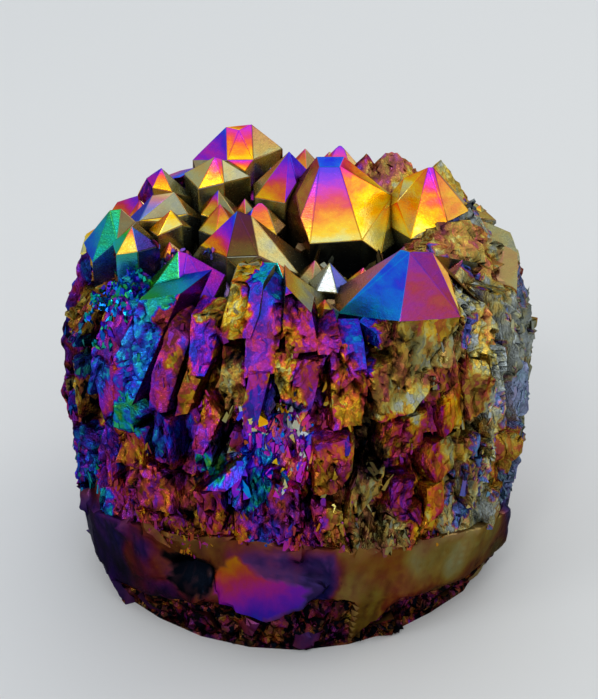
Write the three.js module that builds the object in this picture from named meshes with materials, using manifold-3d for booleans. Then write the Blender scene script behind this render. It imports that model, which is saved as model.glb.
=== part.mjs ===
// Cluster of aura-coated quartz, broken out of the wall of a geode. It is one grown-together solid:
// a crown of stubby hexagonal points, a flank of the same crystals seen side on, broken into columns and
// chips, and below them the smooth rind of the geode wall, bevelled in to the rough underside it rests on.
// Millimetres, +Z up, -Y the front. The mesh stands on z = 0 with its box centred on the Z axis.
import * as THREE from "three";
import Module from "manifold-3d";
import { ConvexGeometry } from "three/addons/geometries/ConvexGeometry.js";
import { mergeVertices } from "three/addons/utils/BufferGeometryUtils.js";

const wasm = await Module();
wasm.setup();

// ---- driving dimensions ----
const capAngle = 51.8;      // degrees from a crystal's long axis to the normal of a face of its point
const crownFloor = 69;      // height of the floor between the points
const leaderRoot = 24;      // how far a large crystal's prism runs down from its shoulders
const plainRoot = 26;       // how long a plainer crystal is below its apex
const valleyRoot = 12;      // and a small point of the valleys
const slabDepth = 5.5;      // how far a flank crystal runs in from its broken face
const slabSpread = 1.2;     // how much wider it is at that depth
const rindDepth = 6;        // how far a slab of the rind runs in
const wallRelief = 0.5;     // how far the flank stands out of the rind's upper edge
const brow = 56;            // height above which the flank curves in towards the crown
const browCurve = 0.018;    // how fast it does, per millimetre
const chipCount = 50;       // small broken chips on the flank
const chipHigh = 66;        // height of the highest of them
const chipSwing = 0.6;      // how askew they stand, for each millimetre of their size
const clastCount = 20;      // lumps on the underside's edge
const clastSwing = 0.3;     // how askew those stand
const wallSteps = 24;       // facets round the body

// The body under the points: a wall of facets through these rings. Each row is one bearing, in degrees from
// the front, positive to the right, with the radius at the underside, then the radius and height of the
// rind's lower edge, of the rind's upper edge, and the radius under the crown.
const bodyWall = [
  { bearing: 0, under: 38.5, rindLow: [42, 16], rindTop: [44.5, 31], crown: 40 },
  { bearing: 22, under: 38, rindLow: [42.5, 14], rindTop: [44.5, 28], crown: 39.5 },
  { bearing: 45, under: 38.5, rindLow: [43, 11], rindTop: [45.5, 25], crown: 40 },
  { bearing: 67, under: 41, rindLow: [45, 8], rindTop: [46.3, 20.5], crown: 41 },
  { bearing: 90, under: 41.5, rindLow: [45.5, 8], rindTop: [46.5, 18], crown: 41 },
  { bearing: 113, under: 40, rindLow: [43.5, 9], rindTop: [45.5, 18], crown: 40.5 },
  { bearing: 137, under: 38, rindLow: [41.5, 9], rindTop: [43.5, 20], crown: 39 },
  { bearing: 160, under: 36, rindLow: [39.5, 10], rindTop: [41.5, 22], crown: 37 },
  { bearing: 183, under: 35, rindLow: [38.5, 11], rindTop: [41, 23], crown: 36.5 },
  { bearing: 207, under: 37, rindLow: [40, 10], rindTop: [42.5, 21], crown: 38 },
  { bearing: 230, under: 40, rindLow: [43, 8], rindTop: [45, 19], crown: 39.5 },
  { bearing: 252, under: 43, rindLow: [45.5, 7], rindTop: [46.5, 17], crown: 41 },
  { bearing: 275, under: 44, rindLow: [46.8, 8], rindTop: [47.3, 17], crown: 41.5 },
  { bearing: 298, under: 43, rindLow: [45.6, 5], rindTop: [47, 21], crown: 41 },
  { bearing: 320, under: 40.5, rindLow: [44.2, 9], rindTop: [46.2, 28], crown: 40.5 },
  { bearing: 340, under: 39, rindLow: [43, 14], rindTop: [45.3, 32], crown: 40 },
];

// The large crystals, each with its own uneven faces: the place of its tip, the tip's corners as steps from
// that place, and its shoulders, where the tip's faces meet the prism. A shoulder is a bearing, a distance
// out from the tip and a distance down.
const leaders = [
  {
    name: "keystone", tip: [6, 6, 87],
    peak: [[-2, -2, 0], [2, -2, 0], [-2.5, 2, 0.5], [3, 2, 0.5]],
    shoulders: [[-70, 7, 6], [-35, 10, 8], [-18, 12.5, 12], [29, 13, 11.5], [44, 14.5, 15], [92, 16, 16],
      [99, 13, 8], [150, 13, 12], [-160, 13, 12], [-115, 12, 12]],
  },
  {
    name: "front lead", tip: [20.5, -30, 85],
    peak: [[-1, -1, 0.5], [3, 0, 0], [-2.5, 1, 0]],
    shoulders: [[-122, 17, 12.5], [-96, 13.5, 13], [-18, 9.5, 9], [51, 10.5, 9.5], [80, 6, 3.5],
      [110, 14, 13], [180, 13, 13]],
  },
  {
    name: "right shoulder", tip: [24.5, 6, 85],
    peak: [[-3.5, 2, -2], [1, -1, 1.5], [2, -1, 1.5]],
    shoulders: [[-78, 5, 6], [-15, 10, 10], [15, 10, 9.5], [29, 9.5, 7], [71, 10, 7], [110, 10, 8],
      [180, 9, 11], [-110, 10, 11]],
  },
  {
    name: "purple blade", tip: [-2, 12, 87],
    peak: [[0, 0, 0]],
    shoulders: [[-111, 8, 8.5], [-70, 7.5, 9], [-6, 7.5, 8], [21, 4.5, 5], [110, 6, 7], [180, 6, 7]],
  },
  {
    name: "back peak", tip: [-13, 27.5, 86],
    peak: [[0.3, -0.5, -0.3], [3, 0.5, 0.6], [-2.5, 0.5, 0]],
    shoulders: [[-106, 10.5, 8.5], [-26, 5, 5.5], [16, 6, 7.5], [38, 5.5, 5.5], [109, 10, 6], [150, 10, 9],
      [-155, 10, 10]],
  },
  {
    name: "back step", tip: [-16.5, 14, 84.5],
    peak: [[-0.7, 0, 0.5], [0.8, 0, 0]],
    shoulders: [[-106, 7.5, 4], [-47, 5.5, 5], [20, 3.7, 3.8], [112, 7, 5], [180, 7, 8], [-130, 8, 7.5]],
  },
  {
    name: "far left", tip: [-28, 13, 83],
    peak: [[0, 0, 0]],
    shoulders: [
      [-106, 3.5, 2.7], [-35, 3.2, 3.3], [36, 3.8, 4], [98, 6.8, 7.4], [180, 6, 6.5], [-110, 6, 7],
    ],
  },
  {
    name: "grey dome", tip: [-27, 4, 81.5],
    peak: [[-2.2, 0, -0.6], [2.2, 0, 0.1]],
    shoulders: [[-50, 6, 4.4], [1, 3.6, 4.8], [64, 5.5, 3.6], [110, 9, 8], [180, 7, 8], [-105, 9, 8]],
  },
  {
    name: "yellow tooth", tip: [-25, -2, 80.5],
    peak: [[0, 0, 0]],
    shoulders: [[-108, 5, 5], [-39, 4, 4.2], [63, 2.5, 2.8], [110, 4, 4.4], [180, 4, 4.4]],
  },
  {
    name: "green rim", tip: [-35, -7, 83],
    peak: [[-1.2, 0, -0.3], [1, 0, 0]],
    shoulders: [[-96, 7, 7.7], [-43, 6.8, 9], [5, 4, 4.8], [97, 3.6, 3], [115, 7.5, 8], [180, 7, 8],
      [-115, 8, 9]],
  },
  {
    name: "lime tooth", tip: [-31, -16, 83.5],
    peak: [[0, 0, 0]],
    shoulders: [[-107, 4.3, 4], [-45, 4.2, 4.5], [20, 3.4, 3.7], [123, 5.5, 5.5], [180, 6, 6.5]],
  },
  {
    name: "emerald", tip: [-21, -24, 82],
    peak: [[-0.9, 0, 0.3], [0.7, 0, -0.1]],
    shoulders: [[-67, 7, 7], [-5, 5.6, 6.8], [55, 6.6, 7.7], [119, 8.5, 6.6], [180, 8, 9], [-110, 9, 9]],
  },
  {
    name: "grey wedge", tip: [-10.5, -10, 83.5],
    peak: [[-1.2, 0, 0.4], [1.4, 0, -0.5]],
    shoulders: [[-104, 9, 8], [-30, 6.4, 6.6], [-6, 5.8, 9.2], [29, 6, 6.5], [77, 11, 12], [114, 16, 15],
      [180, 10, 11], [-110, 11, 11]],
  },
  {
    name: "teal chisel", tip: [-5, -27.5, 82],
    peak: [[-1.3, 0.5, -0.4], [1.2, -0.5, 0]],
    shoulders: [[-79, 2.8, 2.5], [16, 1.2, 3.3], [40, 4.8, 4], [73, 8.8, 10], [113, 11, 9.5], [180, 9, 10],
      [-110, 10, 10], [-60, 8, 11]],
  },
  {
    name: "brown right", tip: [30.5, -7, 80.5],
    peak: [[-3, -1, 0], [3.3, 1, -0.4]],
    shoulders: [[-44, 6.8, 5], [43, 6.4, 6.8], [59, 9, 9], [109, 10.5, 7.3], [180, 9, 9], [-100, 10, 9]],
  },
];

// The plainer crystals: apex, width across the flats, twist of the first face from +X, lean of the axis,
// and how far below the apex each of the six faces is cut.
const fillers = [
  { apex: [-16.1, 5, 81.6], width: 7, twist: 0, lean: [0, 0], drops: [0, 0, 0, 0, 0, 0] },
  { apex: [-15.5, 0, 80.9], width: 8, twist: 50, lean: [0, 0], drops: [0, 0, 0, 0, 0, 0] },
  { apex: [-7.7, 2, 80.4], width: 9, twist: 30, lean: [0, -10], drops: [0, 0, 0, 0, 1.5, 0] },
  { apex: [5.7, -20, 78], width: 7, twist: 20, lean: [0, 0], drops: [0, 0, 0, 0, 0, 0] },
  { apex: [4.6, -32.5, 77], width: 5, twist: 50, lean: [0, -4], drops: [0, 0, 0, 0, 0, 0] },
  { apex: [20, -12, 77.5], width: 13, twist: 20, lean: [3, 0], drops: [0, 0, 0, 0, 0, 0] },
  { apex: [20.2, 22, 84.4], width: 14, twist: 30, lean: [3, 4], drops: [0, 1, 0, 0, 2, 0] },
  { apex: [30.0, 18, 82.9], width: 14, twist: 10, lean: [5, 4], drops: [0, 0, 0, 0, 0, 0] },
  { apex: [1.3, 24, 82.8], width: 9, twist: 5, lean: [0, 4], drops: [0, 0, 0, 0, 0, 0] },
  { apex: [8.7, 26, 83.0], width: 11, twist: 25, lean: [1, 5], drops: [0, 0, 0, 0, 1, 0] },
  { apex: [14.3, 22, 82.6], width: 10, twist: 40, lean: [1, 3], drops: [0, 0, 0, 0, 0, 0] },
  { apex: [34.6, 7, 78.8], width: 12, twist: 12, lean: [8, 2], drops: [0, 0, 0, 0, 0, 0] },
  { apex: [39.2, -1, 73.4], width: 10, twist: 40, lean: [10, 0], drops: [0, 0, 0, 0, 0, 0] },
  { apex: [42.0, -9, 69], width: 9, twist: 15, lean: [8, -2], drops: [0, 0, 0, 0, 0, 0] },
  { apex: [37.5, 15, 74.5], width: 13, twist: 25, lean: [9, 6], drops: [0, 0, 1, 0, 0, 0] },
  { apex: [31, 27, 78.2], width: 13, twist: 5, lean: [8, 10], drops: [0, 1, 0, 0, 0, 0] },
  { apex: [20, 32.5, 79.2], width: 14, twist: 44, lean: [6, 12], drops: [0, 0, 0, 1.4, 0, 0] },
  { apex: [7, 35.5, 77.8], width: 14, twist: 18, lean: [2, 13], drops: [0, 0, 0, 0, 0, 1] },
  { apex: [-5, 35.5, 77.6], width: 12, twist: 52, lean: [-2, 12], drops: [0, 0, 1, 0, 0, 0] },
  { apex: [-20, 34, 79.2], width: 15, twist: 8, lean: [-6, 11], drops: [1, 0, 0, 0, 1, 0] },
  { apex: [-30, 25, 75.4], width: 14, twist: 33, lean: [-8, 8], drops: [0, 0, 0, 1, 0, 0] },
  { apex: [-35.5, 14, 72.4], width: 12, twist: 20, lean: [-10, 4], drops: [0, 1, 0, 0, 0, 0] },
  { apex: [-37, 3, 73.6], width: 10, twist: 48, lean: [-10, 0], drops: [0, 0, 0, 0, 0, 0] },
  { apex: [26, 13, 79.5], width: 10, twist: 22, lean: [2, 3], drops: [0, 0, 0, 0, 0, 0] },
  { apex: [-3, 20, 80.5], width: 9, twist: 14, lean: [0, 2], drops: [0, 0, 0, 0, 0, 0] },
];

// The small points that fill the valleys between the others: X, Y and height of the apex, then the width.
const valleyPoints = [
  [-24, -13, 76.5, 12], [-16, -19, 75.5, 10], [-4, -19, 75.5, 10], [3, -14, 75.5, 10],
  [12, -19, 76.5, 11], [-14, -31, 75, 9], [10, -26, 75, 8], [31, -17, 77, 12],
  [37, -13, 74, 9], [-33, 14, 75.5, 10], [-22, 18, 77, 9], [-6, 24, 78.5, 10],
  [-25, -8, 76.5, 9], [-11, 9, 78, 9], [-33, 6, 75, 8], [2, -34, 75, 7], [33, 10, 76, 9],
];

// The broken crystals of the flank's front, from the left side to the right: the bearing of the face, the
// heights of its top and foot, its width at both, how far round the foot drifts, how much lower the top's
// right corner is than the left, how far the face stands out of the wall, and its turn to the right and tilt
// upwards in degrees.
const flankCrystals = [
  { at: -74, top: 69, foot: 57, head: 7, heel: 6, drift: -2, slant: -2, out: -1.2, turn: -8, tilt: 4 },
  { at: -77, top: 49, foot: 37, head: 7, heel: 5, drift: -3, slant: -2, out: 0.2, turn: -6, tilt: -6 },
  { at: -76, top: 36, foot: 22, head: 6, heel: 4, drift: 2, slant: 2, out: 0.4, turn: -4, tilt: 0 },
  { at: -63, top: 71, foot: 60, head: 6, heel: 4, drift: -3, slant: 2, out: 0.5, turn: -12, tilt: 8 },
  { at: -64, top: 59, foot: 41, head: 6, heel: 3, drift: -3, slant: -2, out: 0.8, turn: -10, tilt: -4 },
  { at: -66, top: 40, foot: 26, head: 5, heel: 6, drift: -3, slant: 3, out: 0.4, turn: 8, tilt: 4 },
  { at: -51, top: 74, foot: 50, head: 7, heel: 2, drift: 1, slant: 1, out: 0.3, turn: 14, tilt: 0 },
  { at: -54, top: 63, foot: 53, head: 2, heel: 2.5, drift: -3, slant: 2, out: 0.7, turn: -14, tilt: 4 },
  { at: -39, top: 78, foot: 50, head: 8, heel: 2.5, drift: -6, slant: -3, out: 0.9, turn: 4, tilt: 0 },
  { at: -42, top: 56, foot: 46, head: 4, heel: 2, drift: -4, slant: 2, out: 0.9, turn: 10, tilt: -14 },
  { at: -52, top: 46, foot: 33, head: 7, heel: 4, drift: -2, slant: 3, out: 0.2, turn: -8, tilt: 5 },
  { at: -31, top: 73, foot: 57, head: 4.5, heel: 3.5, drift: -2, slant: 2, out: 0.3, turn: 12, tilt: 2 },
  { at: -25, top: 75, foot: 66, head: 5.5, heel: 3.5, drift: 1, slant: 0, out: 0.9, turn: -10, tilt: 2 },
  { at: -25, top: 67, foot: 58, head: 2.5, heel: 2, drift: -2, slant: 2, out: 0.6, turn: 12, tilt: 4 },
  { at: -15, top: 81.5, foot: 73, head: 6, heel: 6, drift: -1, slant: -1, out: 1, turn: -8, tilt: 0 },
  { at: -16, top: 71, foot: 60, head: 4.5, heel: 3, drift: 2, slant: 2, out: 0.2, turn: 14, tilt: 5 },
  { at: -20, top: 62, foot: 51, head: 3.5, heel: 3, drift: -3, slant: 3, out: 1.1, turn: -16, tilt: 10 },
  { at: -22, top: 55, foot: 46, head: 4, heel: 2.5, drift: -1, slant: -3, out: 0.9, turn: -8, tilt: -10 },
  { at: -8, top: 81, foot: 67, head: 5, heel: 5.5, drift: -1, slant: 3, out: 0.9, turn: 8, tilt: -2 },
  { at: -9, top: 68, foot: 56, head: 3.5, heel: 2, drift: -2, slant: 0, out: 0.9, turn: 16, tilt: -4 },
  { at: -14, top: 52, foot: 44, head: 5, heel: 4, drift: -5, slant: -5, out: 1.1, turn: -4, tilt: 26 },
  { at: -41, top: 52, foot: 42, head: 5, heel: 6, drift: -2, slant: -2, out: 0.3, turn: 10, tilt: 10 },
  { at: -33, top: 57, foot: 45, head: 4.5, heel: 5, drift: 0, slant: 1, out: 0.4, turn: -10, tilt: 0 },
  { at: -37, top: 44, foot: 35, head: 10, heel: 7, drift: 2, slant: 1, out: 0.9, turn: 4, tilt: 12 },
  { at: -22, top: 43, foot: 33, head: 6, heel: 4, drift: 1, slant: -2, out: 0.6, turn: -8, tilt: 4 },
  { at: -3, top: 71, foot: 63, head: 4, heel: 2.5, drift: 1, slant: 0, out: 0.8, turn: 6, tilt: 6 },
  { at: 0, top: 81, foot: 71, head: 4.5, heel: 5.5, drift: 1, slant: 4, out: 1.2, turn: 8, tilt: 0 },
  { at: 7, top: 75, foot: 71, head: 4, heel: 3.5, drift: 0, slant: -2, out: 1, turn: -8, tilt: 10 },
  { at: 12, top: 72, foot: 57, head: 6, heel: 5, drift: -1, slant: 0, out: 0.5, turn: -10, tilt: 4 },
  { at: 3, top: 70, foot: 61, head: 5, heel: 3, drift: -2, slant: 0, out: 0.6, turn: 10, tilt: -4 },
  { at: 25, top: 70, foot: 58, head: 13, heel: 7, drift: -3, slant: -3, out: 1.1, turn: -4, tilt: 3 },
  { at: 28, top: 76, foot: 71, head: 5, heel: 9, drift: -2, slant: -3, out: 0.5, turn: 6, tilt: 14 },
  { at: 38, top: 75, foot: 69, head: 6, heel: 5, drift: -1, slant: 0, out: 0.5, turn: -10, tilt: 10 },
  { at: 26, top: 58, foot: 49, head: 7, heel: 8.5, drift: -1, slant: -1, out: 1.1, turn: 6, tilt: -6 },
  { at: 36, top: 59, foot: 51, head: 3.5, heel: 3, drift: 1, slant: -1, out: 0.9, turn: 18, tilt: 0 },
  { at: 37, top: 50, foot: 42, head: 8, heel: 5, drift: -1, slant: 0, out: 0.7, turn: 8, tilt: 6 },
  { at: 8, top: 56, foot: 43, head: 7, heel: 4, drift: -2, slant: -2, out: 1.1, turn: -6, tilt: -2 },
  { at: -4, top: 46, foot: 34, head: 6, heel: 4, drift: 2, slant: 2, out: 0.6, turn: 10, tilt: 2 },
  { at: 17, top: 48, foot: 38, head: 5, heel: 3, drift: -4, slant: 0, out: 0.8, turn: -14, tilt: -2 },
  { at: 25, top: 44, foot: 35, head: 5, heel: 4, drift: 1, slant: 0, out: 0.8, turn: 6, tilt: -6 },
  { at: 34, top: 41, foot: 32, head: 3.5, heel: 3.5, drift: 0, slant: -1, out: 0.7, turn: -12, tilt: -4 },
  { at: 7, top: 41, foot: 33, head: 5, heel: 5, drift: 1, slant: 2, out: 0.5, turn: 12, tilt: 4 },
  { at: 48, top: 73, foot: 64, head: 9, heel: 7, drift: 1, slant: 1, out: 0.7, turn: -8, tilt: 6 },
  { at: 45, top: 65, foot: 52, head: 5, heel: 6, drift: 2, slant: 2, out: 0.5, turn: -14, tilt: 2 },
  { at: 56, top: 62, foot: 42, head: 4.5, heel: 7, drift: 2, slant: 0, out: 0.4, turn: 6, tilt: 0 },
  { at: 67, top: 71, foot: 54, head: 8, heel: 7, drift: 2, slant: 2, out: 0.5, turn: 8, tilt: 2 },
  { at: 69, top: 53, foot: 41, head: 6, heel: 5, drift: 3, slant: 0, out: 1, turn: -8, tilt: 6 },
  { at: 49, top: 43, foot: 30, head: 8, heel: 7, drift: 2, slant: 3, out: 0.7, turn: 6, tilt: -4 },
  { at: 69, top: 39, foot: 23, head: 8, heel: 6, drift: 2, slant: 0, out: 0.8, turn: -6, tilt: -2 },
];

// The slabs of the rind, each corner by its bearing, radius and height: the band on the left, the bright
// chip under the middle, the ledge on the right, then three round the back.
const rindFaces = [
  [[-88, 48, 19], [-62, 48, 22.5], [-40, 47, 29], [-25, 45.8, 30], [-23, 44.8, 21], [-43, 45.4, 14],
    [-66, 46.8, 7], [-88, 47.4, 7]],
  [[-23, 44.2, 20.5], [-16, 43.7, 27.5], [-10, 44.3, 24.5], [8, 44.8, 20.5], [1, 45.4, 16.5],
    [-8, 45.9, 13], [-20, 45.4, 15.5]],
  [[31, 46, 28.5], [50, 47, 24], [70, 47.7, 19.5], [72, 46.6, 8], [47, 45, 11], [29, 44, 13]],
  [[96, 47, 17], [124, 45.6, 19], [128, 43.6, 9], [98, 45.6, 8]],
  [[150, 43, 21], [186, 42, 23], [188, 40, 12], [152, 41, 10]],
  [[214, 43.6, 20], [246, 46.8, 17], [250, 45.6, 7], [216, 42, 9]],
];

// The hollow under the band, by its corners in the same way.
const rindPit = [
  [-38, 49, 22], [-29, 48, 27], [-20, 48, 24], [-19, 48, 15], [-30, 48, 12], [-38, 49, 16],
  [-31, 39, 20], [-25, 39, 21], [-24, 40, 17],
];

// The rest of the flank, from the right side round the back to the left side, in rows of columns: bearings
// of the first and last column, number of columns, heights of the top and the foot, and the row's scatter.
const columnRows = [
  { from: 82, to: 274, count: 15, top: 73, foot: 47, scatter: 5 },
  { from: 87, to: 272, count: 15, top: 54, foot: 32, scatter: 5 },
  { from: 84, to: 275, count: 12, top: 38, foot: 22, scatter: 3.5 },
];

// ---- helpers ----
const radians = THREE.MathUtils.degToRad;

function seeded(seed) {
  let state = seed;
  return () => {
    state = (state + 0x6d2b79f5) | 0;
    let mixed = Math.imul(state ^ (state >>> 15), 1 | state);
    mixed = (mixed + Math.imul(mixed ^ (mixed >>> 7), 61 | mixed)) ^ mixed;
    return ((mixed ^ (mixed >>> 14)) >>> 0) / 4294967296;
  };
}

function solidOf(geometry) {
  const bare = geometry.clone();
  bare.deleteAttribute("normal");
  bare.deleteAttribute("uv");
  const merged = mergeVertices(bare, 1e-4);
  return new wasm.Manifold(new wasm.Mesh({
    numProp: 3,
    vertProperties: merged.attributes.position.array,
    triVerts: new Uint32Array(merged.index.array),
  }));
}

function hullOf(corners) {
  return solidOf(new ConvexGeometry(corners.map((corner) => new THREE.Vector3(...corner))));
}

// Cuts away what lies beyond a plane with this outward normal, at this distance from the origin.
function cutBeyond(solid, normal, distance) {
  return solid.trimByPlane([-normal[0], -normal[1], -normal[2]], -distance);
}

function unionOf(solids) {
  let layer = solids;
  while (layer.length > 1) {
    const next = [];
    for (let i = 0; i < layer.length; i += 2) {
      next.push(i + 1 < layer.length ? layer[i].add(layer[i + 1]) : layer[i]);
    }
    layer = next;
  }
  return layer[0];
}

// A point by its bearing from the front, its distance from the Z axis and its height.
function around(bearing, radius, height) {
  return [radius * Math.sin(radians(bearing)), -radius * Math.cos(radians(bearing)), height];
}

// A row of the wall table at any bearing, eased between the rows on either side of it.
function wallAt(bearing) {
  const turn = ((bearing % 360) + 360) % 360;
  const after = bodyWall.findIndex((row) => row.bearing > turn);
  const high = after < 0 ? bodyWall[0] : bodyWall[after];
  const low = after < 0 ? bodyWall[bodyWall.length - 1] : bodyWall[after - 1];
  const span = (high.bearing - low.bearing + 360) % 360;
  const share = THREE.MathUtils.smoothstep(turn - low.bearing, 0, span);
  const mix = (a, b) => a + (b - a) * share;
  return {
    under: mix(low.under, high.under),
    rindLow: low.rindLow.map((value, i) => mix(value, high.rindLow[i])),
    rindTop: low.rindTop.map((value, i) => mix(value, high.rindTop[i])),
    crown: mix(low.crown, high.crown),
  };
}

// The flank's radius at a bearing and height: upright from the rind, curving in above the brow.
function flankRadius(bearing, height) {
  const over = Math.max(0, height - brow);
  return wallAt(bearing).rindTop[0] + wallRelief - browCurve * over * over;
}

// ---- crown ----
function leader({ tip, peak, shoulders }) {
  const place = (step) => step.map((value, axis) => tip[axis] + value);
  const top = peak.map(place);
  const ring = shoulders.map(([bearing, out, down]) => place(around(bearing, out, -down)));
  const feet = ring.map(([x, y, z]) => [x, y, z - leaderRoot]);
  return hullOf([...top, ...ring, ...feet]);
}

function quartzPoint({ apex, width, twist, lean, drops, root = plainRoot }) {
  const radius = width / 2 / Math.cos(Math.PI / 6);
  const prism = new THREE.CylinderGeometry(radius, radius, root, 6);
  prism.rotateX(Math.PI / 2);
  prism.translate(0, 0, -root / 2);
  prism.rotateZ(radians(twist));
  let solid = solidOf(prism);
  const slope = radians(capAngle);
  drops.forEach((drop, face) => {
    const turn = radians(twist + 60 * face);
    const normal = [Math.cos(turn) * Math.sin(slope), Math.sin(turn) * Math.sin(slope), Math.cos(slope)];
    solid = cutBeyond(solid, normal, -drop * Math.cos(slope));
  });
  return solid.rotate([-lean[1], lean[0], 0]).translate(apex);
}

// A small point in a valley, turned and leaning as its place in the list and in the crown has it.
function valleyPoint([x, y, height, width], index) {
  return quartzPoint({
    apex: [x, y, height],
    width,
    twist: 37 * index % 60,
    lean: [x * 0.25, y * 0.25],
    drops: [0, 0, 0, 0, 0, 0],
    root: valleyRoot,
  });
}

// ---- flank ----
// A broken crystal grown into the wall: its outer face, and the same outline wider and deeper in the body.
function slab(face, depth = slabDepth, spread = slabSpread) {
  const middle = [0, 1, 2].map((axis) => face.reduce((sum, corner) => sum + corner[axis], 0) / face.length);
  const radius = Math.hypot(middle[0], middle[1]);
  const inward = [-middle[0] / radius * depth, -middle[1] / radius * depth, 0];
  const back = face.map((corner) => corner.map(
    (value, axis) => middle[axis] + (value - middle[axis]) * spread + inward[axis],
  ));
  return hullOf([...face, ...back]);
}

// A crystal of the front: its face is five-sided, widest at the shoulder on the side that it turns away
// from.
function flankCrystal({ at, top, foot, head, heel, drift, slant, out, turn, tilt }) {
  const tall = top - foot;
  const shoulder = turn > 0 ? -1 : 1;
  const corner = (across, height, sway) => {
    const share = (height - foot) / tall;
    const wall = flankRadius(at, height) + out;
    const lift = Math.tan(radians(tilt)) * tall * (0.5 - share);
    const swing = Math.tan(radians(turn)) * across;
    return around(at + sway + across / wall * (180 / Math.PI), wall + lift - swing, height);
  };
  return slab([
    corner(-head / 2, top + Math.min(0, slant), 0),
    corner(head / 2, top - Math.max(0, slant), 0),
    corner(shoulder * Math.max(head, heel) * 0.58, foot + tall * 0.45, drift * 0.5),
    corner(heel / 2, foot + tall * 0.06, drift),
    corner(-heel / 2, foot, drift),
  ]);
}

// The crystals of a row round the back, scattered about the row's measures.
function columns({ from, to, count, top, foot, scatter }, row) {
  const random = seeded(100 + row);
  const spread = (range) => range * (random() - 0.5);
  const step = (to - from) / (count - 1);
  const pitch = radians(step) * 45;
  return Array.from({ length: count }, (_, i) => flankCrystal({
    at: from + step * (i + spread(0.5)),
    top: top + spread(scatter * 1.6),
    foot: foot + spread(scatter * 2.2),
    head: pitch * (0.75 + spread(0.4)),
    heel: pitch * (0.5 + spread(0.6)),
    drift: spread(6),
    slant: spread(7),
    out: 0.3 + spread(1.2),
    turn: spread(24),
    tilt: spread(10),
  }));
}

// A small broken chip on the wall: a tilted face with three or four corners, on a wider foot. The face leans
// out towards its top by the undercut, in millimetres for each millimetre of height, and stands askew by the
// swing.
function chip({ bearing, radius, height, size, undercut, swing, random }) {
  const width = size * (0.7 + 0.5 * random()) / radius * (180 / Math.PI) / 2;
  const tall = size * (0.6 + 0.6 * random()) / 2;
  const tilt = swing * 0.6 * size * (random() - 0.5) + undercut * tall;
  const turn = swing * size * (random() - 0.5);
  const skew = width * (random() - 0.5);
  const corners = [
    around(bearing - width + skew, radius + tilt + turn, height + tall),
    around(bearing + width * (0.3 + 0.7 * random()) + skew, radius + tilt - turn, height + tall),
    around(bearing + width - skew, radius - tilt - turn, height - tall),
    around(bearing - width * (0.3 + 0.7 * random()) - skew, radius - tilt + turn, height - tall * 0.7),
  ];
  return slab(corners.slice(random() < 0.5 ? 1 : 0), size * 0.9, 1.35);
}

function chips() {
  const random = seeded(7);
  const solids = [];
  for (let i = 0; i < chipCount; i += 1) {
    const bearing = 360 * (i + random()) / chipCount;
    const low = wallAt(bearing).rindTop[1] - 1;
    const height = low + (chipHigh - low) * random() * random();
    const size = 4 + 4 * random() * random();
    const radius = flankRadius(bearing, height) - 0.4 + 1.2 * random();
    solids.push(chip({ bearing, radius, height, size, undercut: 0, swing: chipSwing, random }));
  }
  return solids;
}

// ---- body ----
function bodyCore() {
  const corners = [];
  for (let i = 0; i < wallSteps; i += 1) {
    const bearing = 360 * i / wallSteps;
    const { under, rindLow, rindTop, crown } = wallAt(bearing);
    corners.push(around(bearing, under, 0));
    corners.push(around(bearing, ...rindLow));
    corners.push(around(bearing, ...rindTop));
    corners.push(around(bearing, crown, crownFloor));
  }
  return hullOf(corners);
}

// Rough lumps on the bevel between the rind and the underside.
function clasts() {
  const random = seeded(23);
  const solids = [];
  for (let i = 0; i < clastCount; i += 1) {
    const bearing = 360 * (i + random()) / clastCount;
    const { under, rindLow } = wallAt(bearing);
    const share = 0.2 + 0.4 * random();
    const undercut = (rindLow[0] - under) / rindLow[1];
    const radius = under + (rindLow[0] - under) * share + 0.2;
    const size = 5 + 4 * random();
    const height = rindLow[1] * share;
    solids.push(chip({ bearing, radius, height, size, undercut, swing: clastSwing, random }));
  }
  return solids;
}

const grown = unionOf([
  bodyCore(),
  ...leaders.map(leader),
  ...fillers.map(quartzPoint),
  ...valleyPoints.map(valleyPoint),
  ...flankCrystals.map(flankCrystal),
  ...rindFaces.map((face) => slab(face.map((corner) => around(...corner)), rindDepth, 1)),
  ...columnRows.flatMap(columns),
  ...chips(),
  ...clasts(),
]);
const pitted = grown.subtract(hullOf(rindPit.map((corner) => around(...corner))));
const standing = cutBeyond(pitted, [0, 0, -1], 0);

// Pockets closed in between the crystals are filled, so that only the outermost skin is left.
const [cluster] = standing.decompose().sort((a, b) => b.volume() - a.volume());

// ---- the finished mesh ----
const mesh = cluster.getMesh();
const geometry = new THREE.BufferGeometry();
geometry.setAttribute("position", new THREE.BufferAttribute(mesh.vertProperties, 3));
geometry.setIndex(new THREE.BufferAttribute(mesh.triVerts, 1));

const auraFilm = new THREE.MeshStandardMaterial({ color: 0x7a4a86, roughness: 0.28, metalness: 0.9 });
const quartzCluster = new THREE.Mesh(geometry, auraFilm);
quartzCluster.name = "quartz_cluster";
geometry.computeBoundingBox();
const box = geometry.boundingBox;
quartzCluster.position.set(-(box.min.x + box.max.x) / 2, -(box.min.y + box.max.y) / 2, -box.min.z);

const part = new THREE.Group();
part.add(quartzCluster);
export default part;
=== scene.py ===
# A hand-sized cluster of quartz crystals under a titanium film, standing on its own flat underside.
# Sizes are in millimetres until they reach a mesh. Bearings are degrees from the front, positive to the
# right, and rises are degrees above the level.
import math
import random

import bmesh
import bpy
from mathutils import Matrix, Vector, noise
from mathutils.bvhtree import BVHTree


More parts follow.
